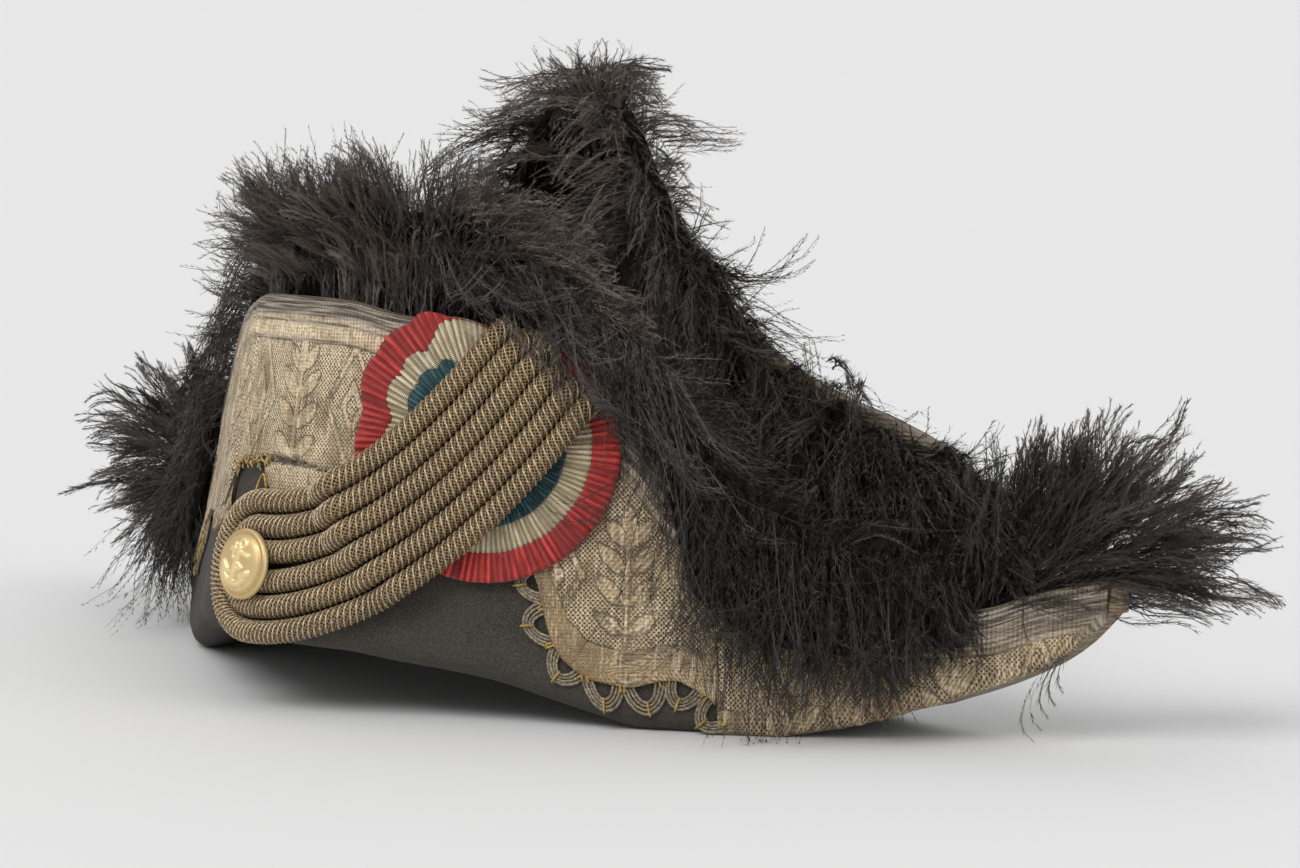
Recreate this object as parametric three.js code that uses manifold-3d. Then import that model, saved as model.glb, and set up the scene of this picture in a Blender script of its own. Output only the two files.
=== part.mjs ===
import * as THREE from "three";
import Module from "manifold-3d";

const wasm = await Module();
wasm.setup();

// Driving sizes in millimetres. X runs along the hat from horn to horn, the decorated flap faces -Y, Z is up.
const FELT = 2.5;
const GAP = 0.35;
const HORN_X = 227;
const HORN_Y = 63;
const WRAP_RADIUS = 82.5;
const NEAR_LEAN = 0.194;
const FOLD_HEIGHT = 20.5;
const FOLD_RADIUS = 9;
const FOLD_SHARE_OF_FLAP = 0.1;
const TROUGH_END_X = 208;
const TROUGH_PAST_EDGE = 14;
const TROUGH_CORNER = 3;
const CROWN_CENTRE_Y = 9;
const CROWN_SIDES = 40;
const CROWN_CUT_BELOW = 12;
const LACE_THICKNESS = 1.2;
const LACE_END_X = 223;
const LACE_OVER_EDGE = 0.8;
const LACE_OVER_FOLD = 0.3;
const LACE_ROWS = 5;
const COCKADE_RADIUS = 43.5;
const COCKADE_BAND = 9.6;
const COCKADE_HOLE = 5;
const COCKADE_THICKNESS = 1.3;
const COCKADE_PLEATS = 22;
const COCKADE_PLEAT_DEPTH = 0.7;
const CORD_RADIUS = 3.85;
const CORD_PITCH = 8.3;
const CORD_SIDES = 8;
const CORD_STEPS = 8;
const CORD_CLIMB_FROM = 15;
const CORD_CLIMB_TO = 3;
const INNER_LOOP_RADIUS = 4.6;
const BUTTON_SIDES = 28;

// Stations along one half of the hat, closer together where the edges bend
const STATIONS = [13, 26, 38, 50, 62, 74, 84, 94, 103, 112, 121, 131, 142, 154, 168, 182, 196, 206, 214, 221];

// The bottom fold of the hat: height of the fold at stations along the hat, the same on both halves
const BOTTOM_LINE = [
  { x: 0, z: 20.5 }, { x: 32, z: 20 }, { x: 51, z: 17.2 }, { x: 73, z: 13 }, { x: 91, z: 6.8 },
  { x: 102, z: 3 }, { x: 112, z: 0 }, { x: 142, z: 0 }, { x: 152, z: 2.2 }, { x: 166, z: 5.8 },
  { x: 182, z: 11.6 }, { x: 199, z: 18.6 }, { x: 211, z: 25 }, { x: 219, z: 31.5 }, { x: 227, z: 41 },
];

// Upper edge of the near flap, which stands high over the crown and drops to the horns
const NEAR_EDGE = [
  { x: 0, z: 126 }, { x: 25, z: 125.5 }, { x: 48, z: 121.5 }, { x: 74, z: 116.5 }, { x: 88, z: 108 },
  { x: 100, z: 95.5 }, { x: 110, z: 86 }, { x: 121, z: 72 }, { x: 135, z: 56 }, { x: 155, z: 42 },
  { x: 175, z: 36.5 }, { x: 194, z: 37.6 }, { x: 210, z: 43.5 }, { x: 227, z: 48 },
];

// Plan of the far flap's bottom fold
const FAR_FOLD = [
  { x: 0, y: 90.5 }, { x: 30, y: 89 }, { x: 60, y: 84.5 }, { x: 90, y: 75.5 }, { x: 120, y: 65 },
  { x: 150, y: 58 }, { x: 180, y: 56.5 }, { x: 205, y: 61 }, { x: 227, y: 69.5 },
];

// Upper edge of the far flap, a steep peak over the crown
const FAR_EDGE = [
  { x: 0, y: 66, z: 177 }, { x: 15, y: 66, z: 169 }, { x: 30, y: 66, z: 152.5 }, { x: 45, y: 65.5, z: 137 },
  { x: 60, y: 65, z: 124.5 }, { x: 80, y: 63, z: 112.5 }, { x: 100, y: 60, z: 104 }, { x: 120, y: 57, z: 98 },
  { x: 145, y: 55, z: 92 }, { x: 168, y: 55, z: 84.5 }, { x: 184, y: 57, z: 70 }, { x: 199, y: 60, z: 52.5 },
  { x: 212, y: 64, z: 48 }, { x: 227, y: 69.5, z: 48.5 },
];

// The crown as ovals stacked from the bottom fold to the top
const CROWN_OVALS = [
  { z: 19, length: 97, width: 78 }, { z: 40, length: 95, width: 73 }, { z: 60, length: 90.5, width: 66 },
  { z: 78, length: 81, width: 56 }, { z: 92, length: 66, width: 43.5 }, { z: 101, length: 45, width: 29 },
  { z: 105, length: 20, width: 13 },
];

// Lower edge of the lace as height over the bottom fold, one lobe beside the cockade and one near the horn
const LACE_LOW = [
  { x: 0, w: 53 }, { x: 40, w: 52.5 }, { x: 60, w: 49 }, { x: 76, w: 45 }, { x: 83, w: 40 }, { x: 88, w: 29 },
  { x: 92, w: 16.5 }, { x: 100, w: 11 }, { x: 108, w: 12.5 }, { x: 121, w: 15 }, { x: 129, w: 10 },
  { x: 135, w: 0 }, { x: 227, w: 0 },
];

// Middle line of the looped cord trim on the unrolled flap: arc length from the middle, and height
const GANSE_LINE = [{ s: 3, z: 44 }, { s: 40, z: 44 }, { s: 72, z: 70 }, { s: 102, z: 112 }];
const COCKADE_PLACE = { s: 80, z: 83.5 };

// Half section of the button from its back to the top of its dome
const BUTTON_PROFILE = [
  { r: 0, h: 0 }, { r: 9.6, h: 0 }, { r: 11, h: 0.9 }, { r: 11, h: 1.8 }, { r: 10.1, h: 2.5 },
  { r: 9.3, h: 2.2 }, { r: 6.6, h: 3.6 }, { r: 3.4, h: 4.4 }, { r: 0, h: 4.7 },
];

// Feathers along the near flap's front half: they stand behind the edge over the crown and fall over it
// toward the horn. Bare is the share of the flap that the falling ones leave free.
const NEAR_PLUME = [
  { x: 1.5, rise: 40, out: 12, fall: 0, bare: 1 }, { x: 30, rise: 47, out: 17, fall: 0, bare: 1 },
  { x: 60, rise: 42, out: 8, fall: 0, bare: 1 }, { x: 85, rise: 32, out: 2, fall: 0, bare: 0.9 },
  { x: 105, rise: 22, out: 5, fall: 0, bare: 0.8 }, { x: 120, rise: 15, out: 12, fall: 1, bare: 0.42 },
  { x: 134, rise: 14, out: 12, fall: 1, bare: 0.2 }, { x: 160, rise: 14, out: 11, fall: 1, bare: 0.16 },
  { x: 185, rise: 13, out: 10, fall: 1, bare: 0.3 }, { x: 200, rise: 10, out: 9, fall: 1, bare: 0.55 },
];

// Feathers along the far flap's front half: rise over the edge, reach toward the near flap, tips' height
const FAR_PLUME = [
  { x: 1.5, rise: 24, reach: 0, tip: 23, sway: 8 }, { x: 20, rise: 24, reach: 6, tip: 18, sway: 16 },
  { x: 36, rise: 17, reach: 14, tip: 2, sway: 15 }, { x: 60, rise: 13, reach: 20, tip: -14, sway: 10 },
  { x: 90, rise: 12, reach: 22, tip: -26, sway: 8 }, { x: 125, rise: 11, reach: 20, tip: -30, sway: 8 },
  { x: 150, rise: 10, reach: 17, tip: -28, sway: 8 }, { x: 178, rise: 9, reach: 12, tip: -18, sway: 8 },
];

// Lines that the feathers follow after the strip they are sewn on, as shares of the sizes in the rows above
const STANDING_LINE = [
  { rise: 0.3, hang: 0, out: 0, inset: 1 }, { rise: 0.62, hang: 0, out: 0.15, inset: 0.64 },
  { rise: 0.88, hang: 0, out: 0.55, inset: 0 }, { rise: 1, hang: 0, out: 1, inset: 0 },
];
const FALLING_LINE = [
  { rise: 0.8, hang: 0, out: 0, inset: 0.84 }, { rise: 0.95, hang: 0, out: 0.5, inset: 0 },
  { rise: 0, hang: 0.3, out: 1.05, inset: 0 }, { rise: 0, hang: 1, out: 1, inset: 0 },
];
const FAR_LINE = [
  { rise: 0.7, tip: 0, reach: 0, sway: 0.1 }, { rise: 1, tip: 0, reach: 0.35, sway: 0.35 },
  { rise: 0.6, tip: 0.4, reach: 0.8, sway: 0.7 }, { rise: 0, tip: 1, reach: 1, sway: 1 },
];
const BACKING_DEPTHS = [11, 5];
const BACKING_HALF = 2;
const LOCK_HALVES = [3.6, 4.6, 4.2, 1.2];
const LOCKS_PER_PLUME = 15;
const VALLEY_THICKNESS = 0.62;
const VALLEY_LENGTH = 0.3;
const NEAR_INSET = FELT + GAP + BACKING_HALF + 1.4;
const FAR_INSET = FELT + GAP + BACKING_HALF + 0.75;

// Feather locks of a horn's tuft: direction round the horn (0 is outward along X), reach and rise
const TUFT_LOCKS = [
  { turn: -105, reach: 32, rise: 20 }, { turn: -72, reach: 46, rise: -8 }, { turn: -58, reach: 50, rise: 12 },
  { turn: -36, reach: 46, rise: 30 }, { turn: -8, reach: 38, rise: 40 }, { turn: 20, reach: 50, rise: 12 },
  { turn: 42, reach: 44, rise: 32 }, { turn: 70, reach: 34, rise: 14 }, { turn: 165, reach: 24, rise: 38 },
];
const TUFT_LOCK_HALF_WIDTH = 7.5;
const TUFT_LOCK_HALF_THICK = 3.2;
const TUFT_HEAD_FROM_TIP = 10;
const TUFT_HEAD_HALF_LENGTH = 9;
const TUFT_HEAD_LIFT = 6.9;
const TUFT_BROW = 4;

// Colours and finishes as the photograph shows them
const FINISH = {
  felt: { color: 0x35312d, roughness: 0.95, metalness: 0 },
  lace: { color: 0xa48c66, roughness: 0.6, metalness: 0.35 },
  red: { color: 0xb8332d, roughness: 0.6, metalness: 0 },
  cream: { color: 0xcdbf98, roughness: 0.6, metalness: 0 },
  blue: { color: 0x2f5f70, roughness: 0.6, metalness: 0 },
  bullion: { color: 0x7d6748, roughness: 0.5, metalness: 0.5 },
  brass: { color: 0xc49a4a, roughness: 0.32, metalness: 0.95 },
  feather: { color: 0x1b1613, roughness: 0.85, metalness: 0 },
};

// Smooth curve through a table's rows that never overshoots them, mirrored about x = 0
function smoothColumn(rows, column) {
  const last = rows.length - 1;
  const step = rows.slice(1).map((row, i) => (row[column] - rows[i][column]) / (row.x - rows[i].x));
  const slope = rows.map((row, i) => {
    if (i === 0) return 0;
    if (i === last) return step[last - 1];
    if (step[i - 1] * step[i] <= 0) return 0;
    return (2 * step[i - 1] * step[i]) / (step[i - 1] + step[i]);
  });
  return (x) => {
    const reach = Math.min(Math.abs(x), rows[last].x);
    const i = Math.max(0, rows.findIndex((row) => row.x >= reach) - 1);
    const span = rows[i + 1].x - rows[i].x;
    const t = (reach - rows[i].x) / span;
    const rise = rows[i + 1][column] - rows[i][column];
    const bend = slope[i] * span - rise;
    const recover = rise - slope[i + 1] * span;
    return rows[i][column] + t * rise + t * (1 - t) * (bend * (1 - t) + recover * t);
  };
}

const bottomAt = smoothColumn(BOTTOM_LINE, "z");
const nearTopAt = smoothColumn(NEAR_EDGE, "z");
const farFoldAt = smoothColumn(FAR_FOLD, "y");
const farTopAt = smoothColumn(FAR_EDGE, "z");
const farTopYAt = smoothColumn(FAR_EDGE, "y");
const laceLowAt = smoothColumn(LACE_LOW, "w");
const columnsOf = (rows, names) => Object.fromEntries(names.map((name) => [name, smoothColumn(rows, name)]));
const nearPlumeAt = columnsOf(NEAR_PLUME, ["rise", "out", "fall", "bare"]);
const farPlumeAt = columnsOf(FAR_PLUME, ["rise", "reach", "tip", "sway"]);

// Plan of the near flap: an arc about the crown, then a straight run to each horn
const HORN_TURN = Math.atan2(HORN_Y, HORN_X) + Math.asin(WRAP_RADIUS / Math.hypot(HORN_X, HORN_Y));
const ARC_END_X = WRAP_RADIUS * Math.sin(HORN_TURN);
const ARC_END_Y = -WRAP_RADIUS * Math.cos(HORN_TURN);
const ARC_LENGTH = WRAP_RADIUS * HORN_TURN;

function nearPlan(x) {
  const turn = Math.sign(x) * Math.min(HORN_TURN, Math.asin(Math.min(1, Math.abs(x) / WRAP_RADIUS)));
  const onArc = Math.abs(x) < ARC_END_X;
  const y = onArc
    ? -Math.sqrt(WRAP_RADIUS ** 2 - x * x)
    : ARC_END_Y + (Math.abs(x) - ARC_END_X) * Math.tan(HORN_TURN);
  return { x, y, inX: -Math.sin(turn), inY: Math.cos(turn) };
}

function nearStationAt(arc) {
  const reach = Math.abs(arc);
  const x = reach < ARC_LENGTH
    ? WRAP_RADIUS * Math.sin(reach / WRAP_RADIUS)
    : ARC_END_X + (reach - ARC_LENGTH) * Math.cos(HORN_TURN);
  return Math.sign(arc) * x;
}

function farPlan(x) {
  const slope = farFoldAt(x + 0.5) - farFoldAt(x - 0.5);
  const length = Math.hypot(slope, 1);
  return { x, y: farFoldAt(x), inX: slope / length, inY: -1 / length };
}

function nearHeight(x) {
  return nearTopAt(x) - bottomAt(x);
}

function farHeight(x) {
  return farTopAt(x) - bottomAt(x);
}

function foldRadius(height) {
  return Math.min(FOLD_RADIUS, FOLD_SHARE_OF_FLAP * height);
}

// A point of a leaning flap: shift is how far it leans in there, out the distance off the felt's outer face
function wallPoint(plan, shift, lean, z, out) {
  const flat = Math.hypot(1, lean);
  const inward = shift - out / flat;
  return new THREE.Vector3(plan.x + plan.inX * inward, plan.y + plan.inY * inward, z + (out * lean) / flat);
}

function nearPoint(x, w, out) {
  const bottom = bottomAt(x);
  const shift = NEAR_LEAN * (bottom + w - Math.max(FOLD_HEIGHT, bottom));
  return wallPoint(nearPlan(x), shift, NEAR_LEAN, bottom + w, out);
}

function farPoint(x, w, out) {
  const lean = (farFoldAt(x) - farTopYAt(x)) / farHeight(x);
  return wallPoint(farPlan(x), lean * w, lean, bottomAt(x) + w, out);
}

// A point of the near flap from its unrolled arc length and its height
function unrolledPoint(s, z, out) {
  const x = nearStationAt(s);
  return nearPoint(x, z - bottomAt(x), out);
}

// A closed body through rings that all have the same number of points
function loft(rings) {
  const count = rings[0].length;
  const points = rings.flat();
  const faces = [];
  for (let r = 0; r + 1 < rings.length; r += 1) {
    for (let k = 0; k < count; k += 1) {
      const a = r * count + k;
      const b = r * count + ((k + 1) % count);
      faces.push([a, b, b + count], [a, b + count, a + count]);
    }
  }
  const end = (rings.length - 1) * count;
  for (let k = 1; k + 1 < count; k += 1) {
    faces.push([0, k + 1, k], [end, end + k, end + k + 1]);
  }
  return faceOutward(points, faces);
}

function faceOutward(points, faces) {
  const volume = faces.reduce(
    (sum, [a, b, c]) => sum + points[a].dot(points[b].clone().cross(points[c])), 0);
  const turned = volume < 0 ? faces.map(([a, b, c]) => [a, c, b]) : faces;
  return { points, faces: turned };
}

function toSolid({ points, faces }) {
  const vertProperties = new Float32Array(points.flatMap((p) => [p.x, p.y, p.z]));
  const triVerts = new Uint32Array(faces.flat());
  return new wasm.Manifold(new wasm.Mesh({ numProp: 3, vertProperties, triVerts }));
}

function toGeometry({ points, faces }) {
  const geometry = new THREE.BufferGeometry();
  const positions = points.flatMap((p) => [p.x, p.y, p.z]);
  geometry.setAttribute("position", new THREE.Float32BufferAttribute(positions, 3));
  geometry.setIndex(faces.flat());
  geometry.computeVertexNormals();
  return geometry;
}

function solidToGeometry(solid) {
  const mesh = solid.getMesh();
  const geometry = new THREE.BufferGeometry();
  const positions = [];
  for (let v = 0; v < mesh.vertProperties.length; v += mesh.numProp) {
    positions.push(mesh.vertProperties[v], mesh.vertProperties[v + 1], mesh.vertProperties[v + 2]);
  }
  geometry.setAttribute("position", new THREE.Float32BufferAttribute(positions, 3));
  geometry.setIndex([...mesh.triVerts]);
  geometry.computeVertexNormals();
  return geometry;
}

// Stations of both halves out to a limit
function stationsTo(limit) {
  const right = [...STATIONS.filter((x) => x < limit - 2), limit];
  return [...right.map((x) => -x).reverse(), 0, ...right];
}

// One side of a cross section: the rolled fold at the bottom, then the straight flap and its flat-topped edge
function feltSide(pointAt, x, height) {
  const radius = foldRadius(height);
  const rolled = [0, 30, 60].map((degrees) => {
    const angle = THREE.MathUtils.degToRad(degrees);
    const rolledUp = radius * (1 - Math.cos(angle));
    return pointAt(x, rolledUp, -radius * (1 - Math.sin(angle))).setZ(bottomAt(x) + rolledUp);
  });
  const rim = pointAt(x, height, 0);
  const rimInside = pointAt(x, height, -FELT - 1).setZ(rim.z);
  return [...rolled, pointAt(x, radius, 0), rim, rimInside];
}

// One side of the hollow between the flaps, carried past the edge
function hollowSide(pointAt, x, height) {
  const floor = pointAt(x, FELT, -FELT - TROUGH_CORNER).setZ(bottomAt(x) + FELT);
  return [floor, pointAt(x, FELT + TROUGH_CORNER, -FELT), pointAt(x, height + TROUGH_PAST_EDGE, -FELT)];
}

function section(x, sideOf) {
  const near = sideOf(nearPoint, x, nearHeight(x));
  const far = sideOf(farPoint, x, farHeight(x));
  return [...near, ...far.reverse()];
}

// The crown's dome; inset shrinks it and sink carries its open end below the fold
function crownDome(inset, sink) {
  const rings = CROWN_OVALS.map((oval, level) => Array.from({ length: CROWN_SIDES }, (_, k) => {
    const angle = (2 * Math.PI * k) / CROWN_SIDES;
    const x = (oval.length - inset) * Math.cos(angle);
    const y = CROWN_CENTRE_Y + (oval.width - inset) * Math.sin(angle);
    const z = level === 0 ? bottomAt(x) - sink : oval.z - inset;
    return new THREE.Vector3(x, y, z);
  }));
  return toSolid(loft(rings));
}

// The blocked felt: crown and both turned-up flaps in one piece
function feltBody() {
  const outer = toSolid(loft(stationsTo(HORN_X).map((x) => section(x, feltSide))));
  const trough = toSolid(loft(stationsTo(TROUGH_END_X).map((x) => section(x, hollowSide))));
  const body = outer.subtract(trough).add(crownDome(0, -FELT / 2));
  return solidToGeometry(body.subtract(crownDome(FELT, CROWN_CUT_BELOW)));
}

// The gold lace: a band along the near flap's upper edge that covers the whole flap at the horns
function lace() {
  const rings = stationsTo(LACE_END_X).map((x) => {
    const top = nearHeight(x) + LACE_OVER_EDGE;
    const low = Math.max(laceLowAt(x), foldRadius(nearHeight(x)) + LACE_OVER_FOLD);
    const rows = Array.from({ length: LACE_ROWS + 1 }, (_, k) => low + ((top - low) * k) / LACE_ROWS);
    const inner = rows.map((w) => nearPoint(x, w, GAP));
    const outer = rows.map((w) => nearPoint(x, w, GAP + LACE_THICKNESS));
    return [...inner, ...outer.reverse()];
  });
  return toGeometry(loft(rings));
}

// Directions on the flat part of the near flap where the cockade sits
function cockadeFrame() {
  const lie = GAP * 2 + LACE_THICKNESS;
  const centre = unrolledPoint(COCKADE_PLACE.s, COCKADE_PLACE.z, lie);
  const along = new THREE.Vector3(Math.cos(HORN_TURN), Math.sin(HORN_TURN), 0);
  const inward = new THREE.Vector3(-along.y, along.x, 0);
  const up = new THREE.Vector3(0, 0, 1).addScaledVector(inward, NEAR_LEAN).normalize();
  const out = along.clone().cross(up).normalize();
  return { centre, along, up, out };
}

// One ring of pleated ribbon of the cockade
function cockadeRing(inside, outside) {
  const { centre, along, up, out } = cockadeFrame();
  const turns = COCKADE_PLEATS * 2;
  const rings = [];
  for (let k = 0; k < turns; k += 1) {
    const angle = (2 * Math.PI * k) / turns;
    const ray = along.clone().multiplyScalar(Math.cos(angle)).addScaledVector(up, Math.sin(angle));
    const face = COCKADE_THICKNESS + (k % 2 ? COCKADE_PLEAT_DEPTH : 0);
    const at = (radius, height) => centre.clone().addScaledVector(ray, radius).addScaledVector(out, height);
    rings.push([at(inside, 0), at(outside, 0), at(outside, face), at(inside, face)]);
  }
  return toGeometry(closeLoop(rings));
}

// A body whose last ring joins its first
function closeLoop(rings) {
  const count = rings[0].length;
  const points = rings.flat();
  const faces = [];
  rings.forEach((_, r) => {
    const next = (r + 1) % rings.length;
    for (let k = 0; k < count; k += 1) {
      const a = r * count + k;
      const b = r * count + ((k + 1) % count);
      const c = next * count + ((k + 1) % count);
      const d = next * count + k;
      faces.push([a, b, c], [a, c, d]);
    }
  });
  return faceOutward(points, faces);
}

// A body swept along a line of points; each ring is an oval whose wide way lies along the given side
function sweep(line, sides, sizeAt, sideAt) {
  const last = line.length - 1;
  const rings = line.map((point, i) => {
    const ahead = line[Math.min(last, i + 1)].clone().sub(line[Math.max(0, i - 1)]).normalize();
    const wide = sideAt(i, ahead);
    wide.addScaledVector(ahead, -wide.dot(ahead)).normalize();
    const thick = ahead.clone().cross(wide);
    const size = sizeAt(i / last);
    return Array.from({ length: sides }, (_, k) => {
      const angle = (2 * Math.PI * k) / sides;
      return point.clone()
        .addScaledVector(wide, size.wide * Math.cos(angle))
        .addScaledVector(thick, size.thick * Math.sin(angle));
    });
  });
  return loft(rings);
}

// Height of a cord's middle over the felt: it lies on the felt by the button and climbs onto the cockade
function cordLift(s, z) {
  const onFelt = GAP + CORD_RADIUS;
  const onCockade = GAP * 4 + LACE_THICKNESS + COCKADE_THICKNESS + COCKADE_PLEAT_DEPTH + CORD_RADIUS;
  const away = Math.hypot(s - COCKADE_PLACE.s, z - COCKADE_PLACE.z) - COCKADE_RADIUS;
  const climb = 1 - THREE.MathUtils.smoothstep(away, CORD_CLIMB_TO, CORD_CLIMB_FROM);
  const standOff = Math.max(0, ARC_LENGTH - s) ** 2 / (2 * WRAP_RADIUS);
  return onFelt + (onCockade + standOff - onFelt) * climb;
}

const ganseCurve = new THREE.CubicBezierCurve(...GANSE_LINE.map((p) => new THREE.Vector2(p.s, p.z)));

// A point beside the middle line of the cord trim, on the unrolled flap
function gansePoint(t, aside) {
  const along = ganseCurve.getTangent(t);
  return ganseCurve.getPoint(t).add(new THREE.Vector2(-along.y, along.x).multiplyScalar(aside));
}

// One doubled cord: down one side, round the button, and back up
function ganseCord(loopRadius) {
  const steps = Array.from({ length: CORD_STEPS + 1 }, (_, k) => k / CORD_STEPS);
  const down = steps.map((t) => gansePoint(1 - t, loopRadius));
  const back = steps.map((t) => gansePoint(t, -loopRadius));
  const round = steps.slice(1, -1).map((t) => {
    const angle = Math.PI * (0.5 + t);
    return new THREE.Vector2(Math.cos(angle), Math.sin(angle)).multiplyScalar(loopRadius).add(ganseCurve.v0);
  });
  const flat = [...down, ...round, ...back];
  const line = flat.map((p) => unrolledPoint(p.x, p.y, cordLift(p.x, p.y)));
  const outward = (i) => unrolledPoint(flat[i].x, flat[i].y, 1).sub(unrolledPoint(flat[i].x, flat[i].y, 0));
  return toGeometry(sweep(line, CORD_SIDES, () => ({ wide: CORD_RADIUS, thick: CORD_RADIUS }), outward));
}

// The domed metal button that the cords loop round
function button() {
  const profile = BUTTON_PROFILE.map(({ r, h }) => new THREE.Vector2(r, h));
  const geometry = new THREE.LatheGeometry(profile, BUTTON_SIDES);
  const { s, z } = GANSE_LINE[0];
  const lift = GAP * 2 + CORD_RADIUS * 2;
  const seat = unrolledPoint(s, z, lift);
  const out = unrolledPoint(s, z, lift + 1).sub(seat).normalize();
  geometry.applyQuaternion(new THREE.Quaternion().setFromUnitVectors(new THREE.Vector3(0, 1, 0), out));
  geometry.translate(seat.x, seat.y, seat.z);
  return geometry;
}

// Evenly spaced stations from one end of a plume to the other: locks at the odd ones, valleys between them
function plumeStations(rows) {
  const first = rows[0].x;
  const step = (rows[rows.length - 1].x - first) / (LOCKS_PER_PLUME * 2);
  return Array.from({ length: LOCKS_PER_PLUME * 2 + 1 }, (_, i) => first + step * i);
}

// A row of feather locks fused to the strip they are sewn on, each following its own line to its tip
function lockRow(lines) {
  const halves = [...BACKING_DEPTHS.map(() => BACKING_HALF), ...LOCK_HALVES];
  const rings = lines.map((line, i) => {
    const valley = i % 2 === 0;
    const tip = line.length - 1;
    if (valley) line[tip].lerp(line[tip - 1], 1 - VALLEY_LENGTH);
    const beside = lines[Math.min(lines.length - 1, i + 1)][0].clone().sub(lines[Math.max(0, i - 1)][0]);
    const offsets = line.map((_, k) => {
      const ahead = line[Math.min(tip, k + 1)].clone().sub(line[Math.max(0, k - 1)]);
      const half = halves[k] * (valley && k >= BACKING_DEPTHS.length ? VALLEY_THICKNESS : 1);
      return ahead.cross(beside).normalize().multiplyScalar(half);
    });
    const front = line.map((point, k) => point.clone().add(offsets[k]));
    const rear = line.map((point, k) => point.clone().sub(offsets[k]));
    return [...front, ...rear.reverse()];
  });
  return toGeometry(loft(rings));
}

// The feather trim of one half of the near flap; half is 1 toward the front horn and -1 toward the rear
function nearPlume(half) {
  const lines = plumeStations(NEAR_PLUME).map((x) => {
    const rise = nearPlumeAt.rise(x);
    const out = nearPlumeAt.out(x);
    const fall = nearPlumeAt.fall(x);
    const hang = -(1 - nearPlumeAt.bare(x)) * nearHeight(x);
    const strip = BACKING_DEPTHS.map((depth) => nearPoint(half * x, nearHeight(x) - depth, -NEAR_INSET));
    const over = (step) => step.rise * rise + step.hang * hang;
    const off = (step) => step.out * out - step.inset * NEAR_INSET;
    const free = STANDING_LINE.map((standing, k) => nearPoint(
      half * x,
      nearHeight(x) + THREE.MathUtils.lerp(over(standing), over(FALLING_LINE[k]), fall),
      THREE.MathUtils.lerp(off(standing), off(FALLING_LINE[k]), fall)));
    return [...strip, ...free];
  });
  return lockRow(lines);
}

// The feather trim of one half of the far flap
function farPlume(half) {
  const lines = plumeStations(FAR_PLUME).map((x) => {
    const strip = BACKING_DEPTHS.map((depth) => farPoint(half * x, farHeight(x) - depth, -FAR_INSET));
    const free = FAR_LINE.map((step) => {
      const over = step.rise * farPlumeAt.rise(x) + step.tip * farPlumeAt.tip(x);
      const point = farPoint(half * x, farHeight(x) + over, -FAR_INSET - step.reach * farPlumeAt.reach(x));
      return point.setX(point.x + half * step.sway * farPlumeAt.sway(x));
    });
    return [...strip, ...free];
  });
  return lockRow(lines);
}

// One free lock of a tuft, broad in the middle and fine at the tip
function tuftLock(guides, side) {
  const line = new THREE.CatmullRomCurve3(guides).getPoints(4);
  const sizeAt = (t) => ({
    wide: TUFT_LOCK_HALF_WIDTH * (0.6 + t) * (1 - 0.85 * t ** 2),
    thick: TUFT_LOCK_HALF_THICK * (1 - 0.7 * t ** 2),
  });
  return toSolid(sweep(line, 5, sizeAt, () => side.clone()));
}

// The bunch of feathers at the end of a horn, sewn on over the closed tip
function hornTuft(half) {
  const seat = nearPoint(HORN_X - TUFT_HEAD_FROM_TIP, nearHeight(HORN_X - TUFT_HEAD_FROM_TIP), -FELT);
  const root = new THREE.Vector3(half * seat.x, seat.y, seat.z + TUFT_HEAD_LIFT);
  const horn = new THREE.Vector3(half * Math.cos(HORN_TURN), Math.sin(HORN_TURN), 0);
  const headLine = [-1, 0, 1].map((end) => root.clone().addScaledVector(horn, end * TUFT_HEAD_HALF_LENGTH));
  const headSize = (t) => ({ wide: 3.4 - 2 * Math.abs(t - 0.5), thick: 4.4 - 2 * Math.abs(t - 0.5) });
  const head = toSolid(sweep(headLine, 6, headSize, () => new THREE.Vector3(0, 0, 1)));
  const locks = TUFT_LOCKS.map(({ turn, reach, rise }) => {
    const angle = THREE.MathUtils.degToRad(turn);
    const ray = new THREE.Vector3(half * Math.cos(angle), Math.sin(angle), 0);
    const side = new THREE.Vector3(-ray.y, ray.x, 0);
    const at = (share, height) => root.clone().addScaledVector(ray, reach * share).setZ(root.z + height);
    const guides = [root.clone(), at(0.3, rise / 2 + TUFT_BROW), at(0.68, rise + TUFT_BROW), at(1, rise)];
    return tuftLock(guides, side);
  });
  return solidToGeometry(locks.reduce((bunch, lock) => bunch.add(lock), head));
}

function addPiece(group, name, geometry, finish) {
  const mesh = new THREE.Mesh(geometry, new THREE.MeshStandardMaterial(FINISH[finish]));
  mesh.name = name;
  group.add(mesh);
}

// Middle of the whole hat over the floor at the origin
function centreOnFloor(group) {
  const box = new THREE.Box3().setFromObject(group);
  const middle = box.getCenter(new THREE.Vector3());
  group.children.forEach((mesh) => mesh.geometry.translate(-middle.x, -middle.y, -box.min.z));
}

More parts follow.
